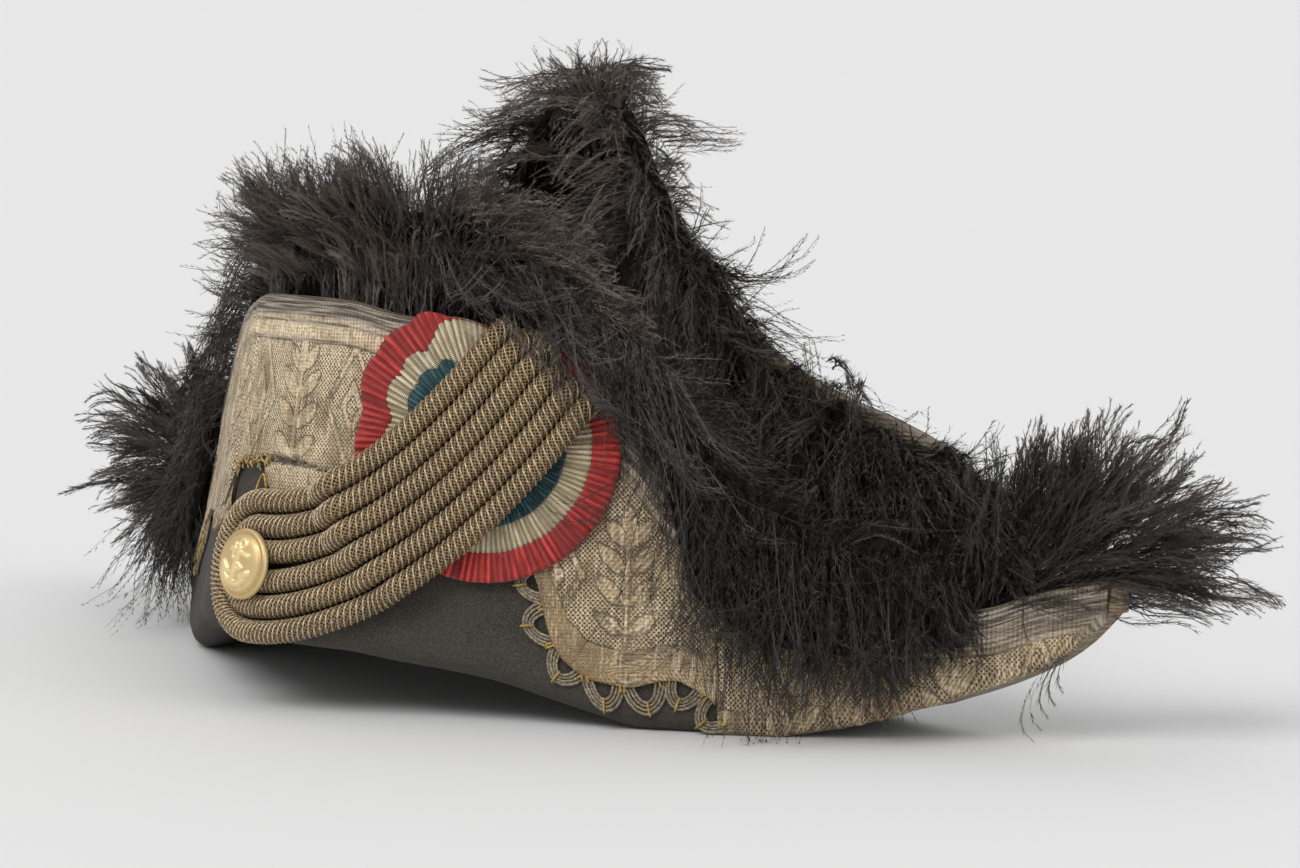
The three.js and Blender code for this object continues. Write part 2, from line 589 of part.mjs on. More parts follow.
function bicorne() {
  const group = new THREE.Group();
  group.name = "bicorne";
  const red = COCKADE_RADIUS - COCKADE_BAND;
  const cream = red - GAP - COCKADE_BAND;
  addPiece(group, "felt_body", feltBody(), "felt");
  addPiece(group, "lace", lace(), "lace");
  addPiece(group, "cockade_red", cockadeRing(red, COCKADE_RADIUS), "red");
  addPiece(group, "cockade_cream", cockadeRing(cream, red - GAP), "cream");
  addPiece(group, "cockade_blue", cockadeRing(COCKADE_HOLE, cream - GAP), "blue");
  addPiece(group, "ganse_inner", ganseCord(INNER_LOOP_RADIUS), "bullion");
  addPiece(group, "ganse_middle", ganseCord(INNER_LOOP_RADIUS + CORD_PITCH), "bullion");
  addPiece(group, "ganse_outer", ganseCord(INNER_LOOP_RADIUS + CORD_PITCH * 2), "bullion");
  addPiece(group, "button", button(), "brass");
  addPiece(group, "plume_near_front", nearPlume(1), "feather");
  addPiece(group, "plume_near_rear", nearPlume(-1), "feather");
  addPiece(group, "plume_far_front", farPlume(1), "feather");
  addPiece(group, "plume_far_rear", farPlume(-1), "feather");
  addPiece(group, "tuft_front", hornTuft(1), "feather");
  addPiece(group, "tuft_rear", hornTuft(-1), "feather");
  centreOnFloor(group);
  return group;
}

export default bicorne();
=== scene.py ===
import math
from functools import partial

import bpy
import numpy as np
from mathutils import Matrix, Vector


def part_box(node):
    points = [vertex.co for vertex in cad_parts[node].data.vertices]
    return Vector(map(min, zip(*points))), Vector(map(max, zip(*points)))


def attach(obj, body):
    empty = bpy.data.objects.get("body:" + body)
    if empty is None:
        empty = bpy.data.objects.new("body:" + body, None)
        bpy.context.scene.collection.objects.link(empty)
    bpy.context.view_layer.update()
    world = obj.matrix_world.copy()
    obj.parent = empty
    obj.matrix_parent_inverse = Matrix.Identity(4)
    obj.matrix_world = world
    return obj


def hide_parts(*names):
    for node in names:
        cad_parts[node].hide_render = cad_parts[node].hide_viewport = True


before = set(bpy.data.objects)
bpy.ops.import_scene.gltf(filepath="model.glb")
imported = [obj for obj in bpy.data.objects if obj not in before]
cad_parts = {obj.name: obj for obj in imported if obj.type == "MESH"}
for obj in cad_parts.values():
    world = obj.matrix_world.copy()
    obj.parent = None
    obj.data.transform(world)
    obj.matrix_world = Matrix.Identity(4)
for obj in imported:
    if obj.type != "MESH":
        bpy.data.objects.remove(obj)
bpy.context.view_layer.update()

# Sizes in millimetres: X runs from horn to horn, the decorated flap faces -Y, Z is up
MM = 0.001

# Felt, as in the part
FELT = 2.5
GAP = 0.35
HORN_X = 227
HORN_Y = 63
WRAP_RADIUS = 82.5
NEAR_LEAN = 0.194
FOLD_HEIGHT = 20.5
FOLD_RADIUS = 9
FOLD_SHARE_OF_FLAP = 0.1
FOLD_DEGREES = 84
TROUGH_CLOSES = (203, 213)
TROUGH_CORNER = 3
CROWN_CENTRE_Y = 9

# Lace and its looped edging
LACE_FACE = GAP + 1.2
LACE_END_X = 226.3
EDGE_BEAD = 3.0
PICOT_PITCH = 13
PICOT_STARTS = {1: 46, -1: 105}
PICOT_END = 157

# Cockade: as in the part, but drawn in, moved along the flap and with a narrower cream ring
COCKADE_RADIUS = 43.5
COCKADE_BAND = 9.6
COCKADE_HOLE = 5
COCKADE_PLEATS = 118
RIM_DRAWN_IN = 2
RIM_SHIFT = 1.3
CREAM_BAND = 7.7

# Cords: as in the part, but a little closer together and turned in sooner at their upper ends
CORD_RADIUS = 3.8
CORD_PITCH = 7.8
CORD_NARROWING = 0.09
CORD_CLIMB = (3, 15)
INNER_LOOP_RADIUS = 4.5
INNER_GAP = 0.6
CORD_SHARE = 0.93
CORD_END_BEND = 6.5
WIRE_RADIUS = 0.33
WIRE_STARTS = 4
WIRE_LEAD = 9.2
WIRE_LEAD_AT_LOOP = 6.4

# Feathers: how far inside the flaps they are sewn on, and how far below the edges they start
NEAR_INSET = 6.25
FAR_INSET = 5.6
BACKING_DEPTHS = (11, 5)

# Camera at the photograph's angle, with its focal length in pixels of the photograph
PHOTO_WIDTH_PX = 1300
FOCAL_PX = 4476
CAMERA_TURN = math.radians(48)
CAMERA_RISE = math.radians(6)
CAMERA_AWAY = 1450
CAMERA_TARGET = (35.8, 52.2, 79.0)


def table(columns, *rows):
    """Rows of numbers as one array for each named column"""
    return dict(zip(columns.split(), np.array(rows, float).T))


# Edges and folds of the hat at stations along one half, as in the part
BOTTOM_LINE = table(
    "x z", (0, 20.5), (32, 20), (51, 17.2), (73, 13), (91, 6.8), (102, 3), (112, 0), (142, 0),
    (152, 2.2), (166, 5.8), (182, 11.6), (199, 18.6), (211, 25), (219, 31.5), (227, 41))
NEAR_EDGE = table(
    "x z", (0, 126), (25, 125.5), (48, 121.5), (74, 116.5), (88, 108), (100, 95.5), (110, 86),
    (121, 72), (135, 56), (155, 42), (175, 36.5), (194, 37.6), (210, 43.5), (227, 48))
FAR_FOLD = table(
    "x y", (0, 90.5), (30, 89), (60, 84.5), (90, 75.5), (120, 65), (150, 58), (180, 56.5), (205, 61),
    (227, 69.5))
FAR_EDGE = table(
    "x y z", (0, 66, 177), (15, 66, 169), (30, 66, 152.5), (45, 65.5, 137), (60, 65, 124.5), (80, 63, 112.5),
    (100, 60, 104), (120, 57, 98), (145, 55, 92), (168, 55, 84.5), (184, 57, 70), (199, 60, 52.5),
    (212, 64, 48), (227, 69.5, 48.5))
CROWN_OVALS = table(
    "z length width", (19, 97, 78), (40, 95, 73), (60, 90.5, 66), (78, 81, 56), (92, 66, 43.5),
    (101, 45, 29), (105, 20, 13))
LACE_LOW = table(
    "x w", (0, 53), (40, 52.5), (60, 49), (76, 45), (83, 40), (86, 34), (88, 25.5), (90, 19), (93, 14.6),
    (100, 11.4), (108, 12.5), (121, 15.6), (126, 13.3), (131, 9.4), (134, 0), (227, 0))
LACE_LOW_REAR = table(
    "x w", (0, 56), (10, 55.6), (19, 54.4), (24.5, 53), (27.5, 41), (40, 38), (80, 40), (100, 42), (121, 36),
    (135, 27), (155, 19), (175, 14), (200, 9), (227, 2))

# Feathers along one half of each flap: rise over its edge, stand-off or reach, fall or tip, and sway
NEAR_PLUME = table(
    "x rise out fall front_sway rear_sway", (1.5, 43, 12, 0, -14, 2), (30, 47, 17, 0, -8, 6),
    (46, 50, 13, 0, 6, 9), (60, 55, 8, 0, 30, 12), (85, 50, 2, 0, 34, 16), (105, 34, 5, 0, 24, 16),
    (120, 15, 12, 1, 16, 12), (134, 14, 12, 1, 12, 10), (160, 14, 11, 1, 10, 8), (185, 13, 10, 1, 9, 8),
    (200, 10, 9, 1, 8, 8))
FAR_PLUME = table(
    "x rise reach tip sway", (1.5, 24, 0, 23, 8), (20, 24, 6, 18, 16), (36, 17, 14, 2, 20),
    (60, 13, 20, -14, 26), (90, 12, 22, -26, 28), (125, 11, 20, -30, 26), (150, 10, 17, -28, 22),
    (178, 9, 12, -18, 16), (198, 8, 8, -10, 12))

# Share of the near flap's height that the hanging feathers leave bare, in front and at the rear
DRAPE_EDGE = table(
    "x front rear", (100, 1, 1), (113, 0.95, 0.95), (118, 0.6, 0.6), (123, 0.25, 0.25), (132, 0.06, 0.06),
    (153, 0.0, 0.04), (170, 0.06, 0.04), (183, 0.4, 0.06), (197, 1, 0.1), (227, 1, 0.2))

# Shares of the feathers' measures along one feather: standing, falling over the near edge, or on the far flap
STANDING_LINE = table(
    "rise hang out inset sway", (0.3, 0, 0, 1, 0.05), (0.62, 0, 0.15, 0.64, 0.25), (0.88, 0, 0.55, 0, 0.6),
    (1, 0, 1, 0, 1))
FALLING_LINE = table(
    "rise hang out inset sway", (0.85, 0, 0.1, 0.84, 0.1), (0.8, 0.03, 0.65, 0, 0.3),
    (0, 0.45, 1.05, 0, 0.65), (0, 1, 1, 0, 1))
FAR_LINE = table(
    "rise tip reach sway", (0.7, 0, 0, 0.1), (1, 0, 0.35, 0.35), (0.6, 0.4, 0.8, 0.7), (0, 1, 1, 1))

# Middle line of the looped cords on the unrolled flap, from the button up, and the cockade's place
GANSE_LINE = np.array([(3, 44), (40, 44), (72, 70), (102, 112)], float)
COCKADE_PLACE = np.array((80, 83.5))


# Curves and surfaces of the hat

def smooth(rows, column, key="x"):
    """Curve through a table's rows that never overshoots them, the same on both halves of the hat"""
    xs, ys = rows[key], rows[column]
    step = np.diff(ys) / np.diff(xs)
    product = step[:-1] * step[1:]
    total = np.where(product > 0, step[:-1] + step[1:], 1)
    slope = np.zeros_like(ys)
    slope[1:-1] = np.where(product > 0, 2 * product / total, 0)
    slope[-1] = step[-1]

    def curve(x):
        reach = np.clip(np.abs(x), xs[0], xs[-1])
        i = np.clip(np.searchsorted(xs, reach) - 1, 0, len(xs) - 2)
        span = xs[i + 1] - xs[i]
        t = (reach - xs[i]) / span
        rise = ys[i + 1] - ys[i]
        bend = slope[i] * span - rise
        recover = rise - slope[i + 1] * span
        return ys[i] + t * rise + t * (1 - t) * (bend * (1 - t) + recover * t)

    return curve


bottom_at = smooth(BOTTOM_LINE, "z")
near_top_at = smooth(NEAR_EDGE, "z")
far_fold_at = smooth(FAR_FOLD, "y")
far_top_at = smooth(FAR_EDGE, "z")
far_top_y_at = smooth(FAR_EDGE, "y")
lace_low_at = smooth(LACE_LOW, "w")
lace_low_rear_at = smooth(LACE_LOW_REAR, "w")
near_plume = {name: smooth(NEAR_PLUME, name) for name in NEAR_PLUME if name != "x"}
far_plume = {name: smooth(FAR_PLUME, name) for name in FAR_PLUME if name != "x"}
bare_at = {1: smooth(DRAPE_EDGE, "front"), -1: smooth(DRAPE_EDGE, "rear")}

HORN_TURN = math.atan2(HORN_Y, HORN_X) + math.asin(WRAP_RADIUS / math.hypot(HORN_X, HORN_Y))
ARC_END_X = WRAP_RADIUS * math.sin(HORN_TURN)
ARC_END_Y = -WRAP_RADIUS * math.cos(HORN_TURN)
ARC_LENGTH = WRAP_RADIUS * HORN_TURN


def stack(*columns):
    return np.stack(np.broadcast_arrays(*columns), axis=-1)


def step_between(value, low, high):
    """0 below low, 1 above high, smooth between"""
    t = np.clip((value - low) / (high - low), 0, 1)
    return t * t * (3 - 2 * t)


def running(steps):
    """Sums of the steps so far, from 0"""
    return np.concatenate([[0], np.cumsum(steps)])


def full_turn(count):
    """Angles evenly round a circle"""
    return np.linspace(0, 2 * np.pi, count, endpoint=False)


def fade(value, low, high):
    """1 below low, 0 above high, smooth between"""
    return 1 - step_between(value, low, high)


def window(value, starts, ends):
    """1 between a smooth start and a smooth end, 0 outside them"""
    return step_between(value, *starts) * fade(value, *ends)


def unit(vectors):
    return vectors / np.maximum(np.linalg.norm(vectors, axis=-1, keepdims=True), 1e-9)


def near_plan(x):
    """Place and inward direction of the near flap: an arc about the crown, then straight to each horn"""
    reach = np.abs(x)
    on_arc = reach < ARC_END_X
    turn = np.sign(x) * np.where(on_arc, np.arcsin(np.minimum(1, reach / WRAP_RADIUS)), HORN_TURN)
    arc_y = -np.sqrt(np.maximum(0, WRAP_RADIUS ** 2 - reach ** 2))
    run_y = ARC_END_Y + (reach - ARC_END_X) * math.tan(HORN_TURN)
    return np.where(on_arc, arc_y, run_y), -np.sin(turn), np.cos(turn)


def far_plan(x):
    slope = far_fold_at(x + 0.5) - far_fold_at(x - 0.5)
    length = np.hypot(slope, 1)
    return far_fold_at(x), slope / length, -1 / length


def wall_point(x, plan, shift, lean, z, out):
    """A point of a leaning flap: shift is how far it leans in, out the distance off the outer face"""
    y, in_x, in_y = plan
    flat = np.hypot(1, lean)
    inward = shift - out / flat
    return stack(x + in_x * inward, y + in_y * inward, z + out * lean / flat)


def near_height(x):
    return near_top_at(x) - bottom_at(x)


def far_height(x):
    return far_top_at(x) - bottom_at(x)


def near_point(x, w, out):
    bottom = bottom_at(x)
    shift = NEAR_LEAN * (bottom + w - np.maximum(FOLD_HEIGHT, bottom))
    return wall_point(x, near_plan(x), shift, NEAR_LEAN, bottom + w, out)


def far_point(x, w, out):
    lean = (far_fold_at(x) - far_top_y_at(x)) / far_height(x)
    return wall_point(x, far_plan(x), lean * w, lean, bottom_at(x) + w, out)


def fold_radius(height):
    return np.minimum(FOLD_RADIUS, FOLD_SHARE_OF_FLAP * height)


def rolled_point(point_at, x, radius, angle, out):
    """A point on the rolled fold, from 90 degrees at the wall to 0 underneath"""
    w = radius - (radius + out) * np.cos(angle)
    point = point_at(x, w, (radius + out) * np.sin(angle) - radius)
    point[..., 2] = bottom_at(x) + w
    return point


def station_at(arc):
    """Station along the hat from the arc length on the unrolled near flap"""
    reach = np.abs(arc)
    on_arc = reach < ARC_LENGTH
    arc_x = WRAP_RADIUS * np.sin(np.minimum(reach, ARC_LENGTH) / WRAP_RADIUS)
    run_x = ARC_END_X + (reach - ARC_LENGTH) * math.cos(HORN_TURN)
    return np.sign(arc) * np.where(on_arc, arc_x, run_x)


def on_flap(s, w, out):
    """A point of the near flap from its unrolled arc length and its height over the bottom line"""
    return near_point(station_at(s), w, out)


def unrolled_point(s, z, out):
    """A point of the near flap from its unrolled arc length and its height over the floor"""
    x = station_at(s)
    return near_point(x, z - bottom_at(x), out)


# The part is centred over its box, so its far fold tells how far it was moved
FOLD_AT_MIDDLE = far_point(np.array(0.0), FOLD_RADIUS, 0)[1]
CENTRE_SHIFT = FOLD_AT_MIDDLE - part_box("felt_body")[1].y / MM


def to_frame(points):
    return (np.asarray(points) - (0, CENTRE_SHIFT, 0)) * MM


# Meshes

class Build:
    """Vertices, faces and their values, gathered for one piece"""

    def __init__(self, *names):
        self.points = []
        self.faces = []
        self.finishes = []
        self.values = {name: [] for name in names}
        self.count = 0

    def add(self, points, faces, finish=0, **values):
        points = np.asarray(points, float).reshape(-1, 3)
        self.points.append(points)
        for group in faces:
            rows = (np.asarray(group, int) + self.count).tolist()
            self.faces += rows
            self.finishes += [finish] * len(rows)
        for name, parts in self.values.items():
            value = values.get(name, 0)
            parts.append(np.broadcast_to(np.asarray(value, float), (len(points),)))
        self.count += len(points)


def link(name, data):
    """Adds an object to the scene"""
    made = bpy.data.objects.new(name, data)
    bpy.context.scene.collection.objects.link(made)
    return made


def make_piece(name, build, materials, slot, *replaced):
    """Makes the mesh in the frame; values called u and v become its UV map"""
    mesh = bpy.data.meshes.new(name)
    mesh.from_pydata(to_frame(np.concatenate(build.points)).tolist(), [], build.faces)
    for material in materials:
        mesh.materials.append(material)
    mesh.polygons.foreach_set("material_index", build.finishes)
    mesh.polygons.foreach_set("use_smooth", [True] * len(mesh.polygons))
    values = {key: np.concatenate(parts) for key, parts in build.values.items()}
    if "u" in values:
        corners = np.zeros(len(mesh.loops), int)
        mesh.loops.foreach_get("vertex_index", corners)
        layer = mesh.uv_layers.new(name="UVMap")
        layer.data.foreach_set("uv", stack(values["u"], values["v"])[corners].ravel())
    for key in sorted(set(values) - {"u", "v"}):
        attribute = mesh.attributes.new(key, "FLOAT", "POINT")
        attribute.data.foreach_set("value", values[key])
    mesh.update()
    return dress(link(name, mesh), slot, *replaced)


def dress(piece, slot, *replaced):
    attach(piece, "root")
    if replaced:
        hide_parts(*replaced)
    return piece


def grid_faces(rows, columns, loop_rows=False, loop_columns=False):
    """Quads over a grid of points, closed in either direction"""
    r = np.arange(rows if loop_rows else rows - 1)[:, None]
    c = np.arange(columns if loop_columns else columns - 1)[None, :]
    r_next = (r + 1) % rows
    c_next = (c + 1) % columns
    corners = np.broadcast_arrays(
        r * columns + c, r * columns + c_next, r_next * columns + c_next, r_next * columns + c)
    return np.stack(corners, axis=-1).reshape(-1, 4)


def closed_loft(rings):
    """Points and faces of a body through closed rings, its ends filled from their middles"""
    count, size = rings.shape[:2]
    points = np.concatenate([rings.reshape(-1, 3), rings[[0, -1]].mean(axis=1)])
    k = np.arange(size)
    after = (k + 1) % size
    end = (count - 1) * size
    first_cap = stack(after, k, count * size)
    last_cap = stack(end + k, end + after, count * size + 1)
    return points, [grid_faces(count, size, loop_columns=True), first_cap, last_cap]


def tubes(lines, radius, sides, reference):
    """Round threads along lines of points, all with the same number of points"""
    count, steps = lines.shape[:2]
    ahead = unit(np.gradient(lines, axis=1))
    aside = unit(np.cross(ahead, reference))
    up = np.cross(aside, ahead)
    angle = 2 * np.pi * np.arange(sides)[:, None] / sides
    ring = aside[:, :, None] * np.cos(angle) + up[:, :, None] * np.sin(angle)
    points = lines[:, :, None] + np.asarray(radius) * ring
    start = (np.arange(count) * steps * sides)[:, None, None]
    walls = (grid_faces(steps, sides, loop_columns=True)[None] + start).reshape(-1, 4)
    rim = np.arange(sides)[None, None]
    caps = np.concatenate([(rim[..., ::-1] + start)[:, 0], (rim + start + (steps - 1) * sides)[:, 0]])
    return points, [walls, caps]


def through(controls, shares):
    """Points of smooth lines through rows of control points, at shares of each line"""
    last = controls.shape[1] - 1
    place = np.clip(shares, 0, 1) * last
    i = np.minimum(place.astype(int), last - 1)
    t = (place - i)[..., None]
    row = np.arange(len(controls))[:, None]
    before, start, end, after = (
        controls[row, np.clip(i + k, 0, last)] for k in (-1, 0, 1, 2))
    return start + 0.5 * t * (
        end - before + t * (2 * before - 5 * start + 4 * end - after
                            + t * (3 * (start - end) + after - before)))


def wander(*coordinates):
    """A smooth uneven value between about -1 and 1, from a few waves"""
    total = 0
    for k in range(4):
        phase = sum(c * math.sin(2.1 * k + 1.7 * j + 0.6) for j, c in enumerate(coordinates))
        total = total + np.sin(phase * (1 + 0.6 * k) + 2.4 * k) / (1 + 0.4 * k)
    return total / 2.4


# Materials

class Look:
    """A material and short ways to add nodes to it"""

    def __init__(self, name, roughness, metallic=0.0, sheen=0.0, specular=0.5):
        self.material = bpy.data.materials.new(name)
        self.material.use_nodes = True
        self.tree = self.material.node_tree
        self.shader = self.tree.nodes["Principled BSDF"]
        self.shader.inputs["Roughness"].default_value = roughness
        self.shader.inputs["Metallic"].default_value = metallic
        self.shader.inputs["Sheen Weight"].default_value = sheen
        self.shader.inputs["Specular IOR Level"].default_value = specular

    def node(self, kind, **inputs):
        made = self.tree.nodes.new("ShaderNode" + kind)
        for key, value in inputs.items():
            self.put(made.inputs[key], value)
        return made

    def put(self, socket, value):
        if isinstance(value, bpy.types.NodeSocket):
            self.tree.links.new(value, socket)
        else:
            socket.default_value = value

    def math(self, operation, *values):
        made = self.tree.nodes.new("ShaderNodeMath")
        made.operation = operation
        for socket, value in zip(made.inputs, values):
            self.put(socket, value)
        return made.outputs[0]

    def times(self, first, second):
        return self.math("MULTIPLY", first, second)

    def plus(self, first, second):
        return self.math("ADD", first, second)

    def most(self, first, second):
        return self.math("MAXIMUM", first, second)

    def span(self, value, low, high, to_low=0.0, to_high=1.0):
        made = self.tree.nodes.new("ShaderNodeMapRange")
        made.interpolation_type = "SMOOTHSTEP"
        for socket, item in zip(made.inputs, (value, low, high, to_low, to_high)):
            self.put(socket, item)
        return made.outputs[0]

    def mix(self, share, first, second):
        made = self.tree.nodes.new("ShaderNodeMix")
        made.data_type = "RGBA"
        self.put(made.inputs[0], share)
        self.put(made.inputs[6], first)
        self.put(made.inputs[7], second)
        return made.outputs[2]

    def place(self):
        return self.node("TexCoord").outputs["Object"]

    def noise(self, size_mm, detail=3.0, stretch=(1, 1, 1)):
        place = self.node("Mapping", Vector=self.place(), Scale=tuple(s / (size_mm * MM) for s in stretch))
        made = self.node("TexNoise", Vector=place.outputs[0], Scale=1.0, Detail=detail)
        return made.outputs["Fac"]

    def cells(self, size_mm):
        made = self.node("TexVoronoi", Vector=self.place(), Scale=1 / (size_mm * MM))
        return made.outputs["Distance"]

    def value(self, name):
        made = self.node("Attribute")
        made.attribute_name = name
        return made.outputs["Fac"]

    def uv(self):
        apart = self.node("SeparateXYZ", Vector=self.node("UVMap").outputs[0])
        return apart.outputs[0], apart.outputs[1]

    def streaks(self, across, along, across_mm, along_mm):
        """Uneven lines that run along one coordinate"""
        place = self.node("CombineXYZ", X=self.math("DIVIDE", across, across_mm),
                          Y=self.math("DIVIDE", along, along_mm))
        made = self.node("TexNoise", Vector=place.outputs[0], Scale=1.0, Detail=3.0)
        return made.outputs["Fac"]

    def waves(self, coordinate, pitch):
        turns = self.math("MULTIPLY", coordinate, 2 * math.pi / pitch)
        return self.math("SINE", turns)

    def finish(self, colour, height=None, depth_mm=0.2, roughness=None):
        self.put(self.shader.inputs["Base Color"], colour)
        if roughness is not None:
            self.put(self.shader.inputs["Roughness"], roughness)
        if height is not None:
            bump = self.node("Bump", Strength=1.0, Distance=depth_mm * MM, Height=height)
            self.put(self.shader.inputs["Normal"], bump.outputs[0])
        return self.material


def grey(level):
    return (level, level, level, 1)


def felt_look():
    look = Look("napped_felt", 0.95, sheen=0.06, specular=0.15)
    look.shader.inputs["Sheen Roughness"].default_value = 0.6
    mottle = look.span(look.noise(38), 0.3, 0.7)
    nap = look.noise(0.55, 4.0)
    fibre = look.noise(0.9, 2.0, (0.25, 0.25, 1))
    lint = look.span(look.cells(6.5), 0.03, 0.06, 1.0, 0.0)
    base = look.mix(mottle, (0.034, 0.029, 0.024, 1), (0.056, 0.049, 0.041, 1))
    flecked = look.mix(look.span(nap, 0.42, 0.68, 0.0, 0.8), base, (0.098, 0.086, 0.073, 1))
    colour = look.mix(look.times(lint, 0.45), flecked, (0.26, 0.24, 0.21, 1))
    height = look.plus(nap, look.times(fibre, 0.6))
    return look.finish(colour, height, 0.35)


NET_COLUMN = 0.74
NET_ROW = 0.74
SATIN_PITCH = 1.4
WEAVE_PITCH = 1.1
PALE_GOLD = (1.0, 0.82, 0.57, 1)
DULL_GOLD = (0.82, 0.62, 0.39, 1)
# Colour of the painted highlight on the gold threads
PAINTED_HIGHLIGHT_GOLD = (0.96, 0.79, 0.54, 1)
BROWN_GOLD = (0.38, 0.248, 0.108, 1)
DARK_GOLD = (0.19, 0.125, 0.06, 1)
GREY_GOLD = (0.15, 0.12, 0.092, 1)
GRIME = (0.20, 0.14, 0.08, 1)
STAIN = (0.26, 0.175, 0.09, 1)
# Tarnished silver, and the colour of its painted highlight lines
SILVER_DARK = (0.050, 0.040, 0.034, 1)
SILVER_HIGHLIGHT = (0.46, 0.40, 0.33, 1)


def lace_openings(look, u, v, figure, net):
    """Holes of the net and dark outlines round the figures, less open where the net has closed up"""
    across = look.math("COSINE", look.times(u, math.pi / NET_COLUMN))
    down = look.math("COSINE", look.times(v, math.pi / NET_ROW))
    hole = look.span(look.times(across, down), 0.0, 0.5)
    outline = look.times(look.span(figure, 0.04, 0.22), look.span(figure, 0.35, 0.6, 0.75, 0.0))
    kept = look.span(look.noise(13, 4.0), 0.36, 0.54, 0.66, 1.0)
    return look.times(look.most(look.times(hole, net), outline), kept)


def lace_threads(look, tarnish, satin, bright):
    """Gold thread, brown and then grey with tarnish, with painted shade between the threads and a painted
    highlight on top of them
    """
    wear = look.span(look.noise(9, 5.0), 0.38, 0.66)
    aged = look.mix(tarnish, look.mix(wear, PALE_GOLD, DULL_GOLD), look.mix(wear, BROWN_GOLD, DARK_GOLD))
    thread = look.mix(look.span(tarnish, 1.0, 1.5), aged, GREY_GOLD)
    # Painted shade in the grooves between the threads
    groove_shaded = look.mix(look.span(satin, -1.3, -0.2, 0.6, 0.0), thread, (0.15, 0.105, 0.06, 1))
    # Painted highlight on the tops of the threads, weaker where the gold is tarnished
    thread_highlight = look.times(look.span(satin, -0.3, 1.3, 0.0, 0.7), bright)
    return look.mix(thread_highlight, groove_shaded, PAINTED_HIGHLIGHT_GOLD)


def lace_wear(look, u, v, thread, bright, fine):
    """Cracks both ways, stains, rubbed streaks that are partly wear and partly painted highlight, and grime
    over the threads
    """
    scratch = look.span(look.streaks(v, u, 0.8, 5.0), 0.56, 0.66, 0.0, 0.6)
    crack = look.span(look.streaks(u, v, 0.9, 5.0), 0.57, 0.66, 0.0, 0.72)
    cracked = look.mix(look.most(scratch, crack), thread, GRIME)
    stained = look.mix(look.span(look.noise(15, 7.0), 0.47, 0.64, 0.0, 0.62), cracked, STAIN)
    # Rubbed, paler streaks: partly wear, partly painted highlight, as strong as the thread highlight
    streaks = look.span(look.streaks(u, v, 1.5, 14.0), 0.52, 0.66, 0.0, 0.75)
    rubbed_and_highlit = look.mix(look.times(streaks, bright), stained, PALE_GOLD)
    return look.mix(look.span(fine, 0.42, 0.7, 0.0, 0.48), rubbed_and_highlit, (0.20, 0.14, 0.07, 1))


def lace_edging(look, u):
    """Tarnished silver with streaks along the band, its light streaks painted highlight lines, and wires
    across it
    """
    streak = look.streaks(look.value("rib"), u, 0.8, 22.0)
    # Dark tarnished silver streaked with painted highlight lines along the band
    bands = look.mix(look.span(streak, 0.42, 0.64), SILVER_DARK, SILVER_HIGHLIGHT)
    return look.mix(look.span(look.waves(u, 1.5), 0.2, 1.0, 0.0, 0.3), bands, (0.05, 0.04, 0.033, 1))


def lace_look():
    look = Look("gold_lace", 0.5, metallic=0.12, specular=0.5)
    u, v = look.uv()
    figure = look.value("figure")
    tarnish = look.value("tarnish")
    edge = look.value("edge")
    wobble = look.times(look.math("SUBTRACT", look.noise(7), 0.5), 0.9)
    uneven_u, uneven_v = look.plus(u, wobble), look.plus(v, wobble)
    net = look.span(figure, 0.35, 0.55, 1.0, 0.0)
    open_net = lace_openings(look, uneven_u, uneven_v, figure, net)
    wound = look.waves(look.value("thread"), SATIN_PITCH)
    threads = look.times(wound, look.math("SUBTRACT", 1.0, net))
    satin = look.plus(threads, look.times(look.waves(uneven_v, WEAVE_PITCH), 0.5))
    # Strength of the painted highlight on the threads, less where the gold is tarnished
    bright = look.span(tarnish, 0.3, 1.5, 1.0, 0.0)
    fine = look.noise(0.8, 3.0)
    worn = lace_wear(look, u, v, lace_threads(look, tarnish, satin, bright), bright, fine)
    pierced = look.mix(look.times(open_net, 0.9), worn, (0.030, 0.022, 0.014, 1))
    edged = look.mix(edge, pierced, lace_edging(look, u))
    # The slit is painted near-black: the felt seen through it, and painted shade inside it
    colour = look.mix(look.value("tear"), edged, (0.02, 0.017, 0.014, 1))
    raised = look.plus(look.times(satin, 0.35), look.times(fine, 0.5))
    height = look.math("SUBTRACT", raised, open_net)
    return look.finish(colour, height, 0.3, look.span(edge, 0, 1, 0.52, 0.36))


def thread_look(name, dark, light, roughness, metallic):
    look = Look(name, roughness, metallic=metallic)
    strand = look.noise(0.8, 3.0)
    colour = look.mix(look.span(strand, 0.35, 0.7), dark, light)
    return look.finish(colour, strand, 0.15)


FRISE_PITCH = 1.25


def bullion_look():
    look = Look("bullion_ground", 0.45, metallic=0.4)
    u, v = look.uv()
    one_way = look.waves(look.plus(v, look.times(u, 0.8)), FRISE_PITCH)
    other_way = look.waves(look.math("SUBTRACT", v, look.times(u, 0.8)), FRISE_PITCH)
    thread = look.most(one_way, other_way)
    worn = look.span(look.noise(16, 4.0), 0.35, 0.7)
    bright = look.mix(worn, (0.40, 0.275, 0.14, 1), (0.29, 0.20, 0.11, 1))
    # Painted shade: near black in the gaps between the crimped threads
    colour = look.mix(look.span(thread, 0.0, 0.8), (0.030, 0.020, 0.011, 1), bright)
    return look.finish(colour, thread, 0.3)


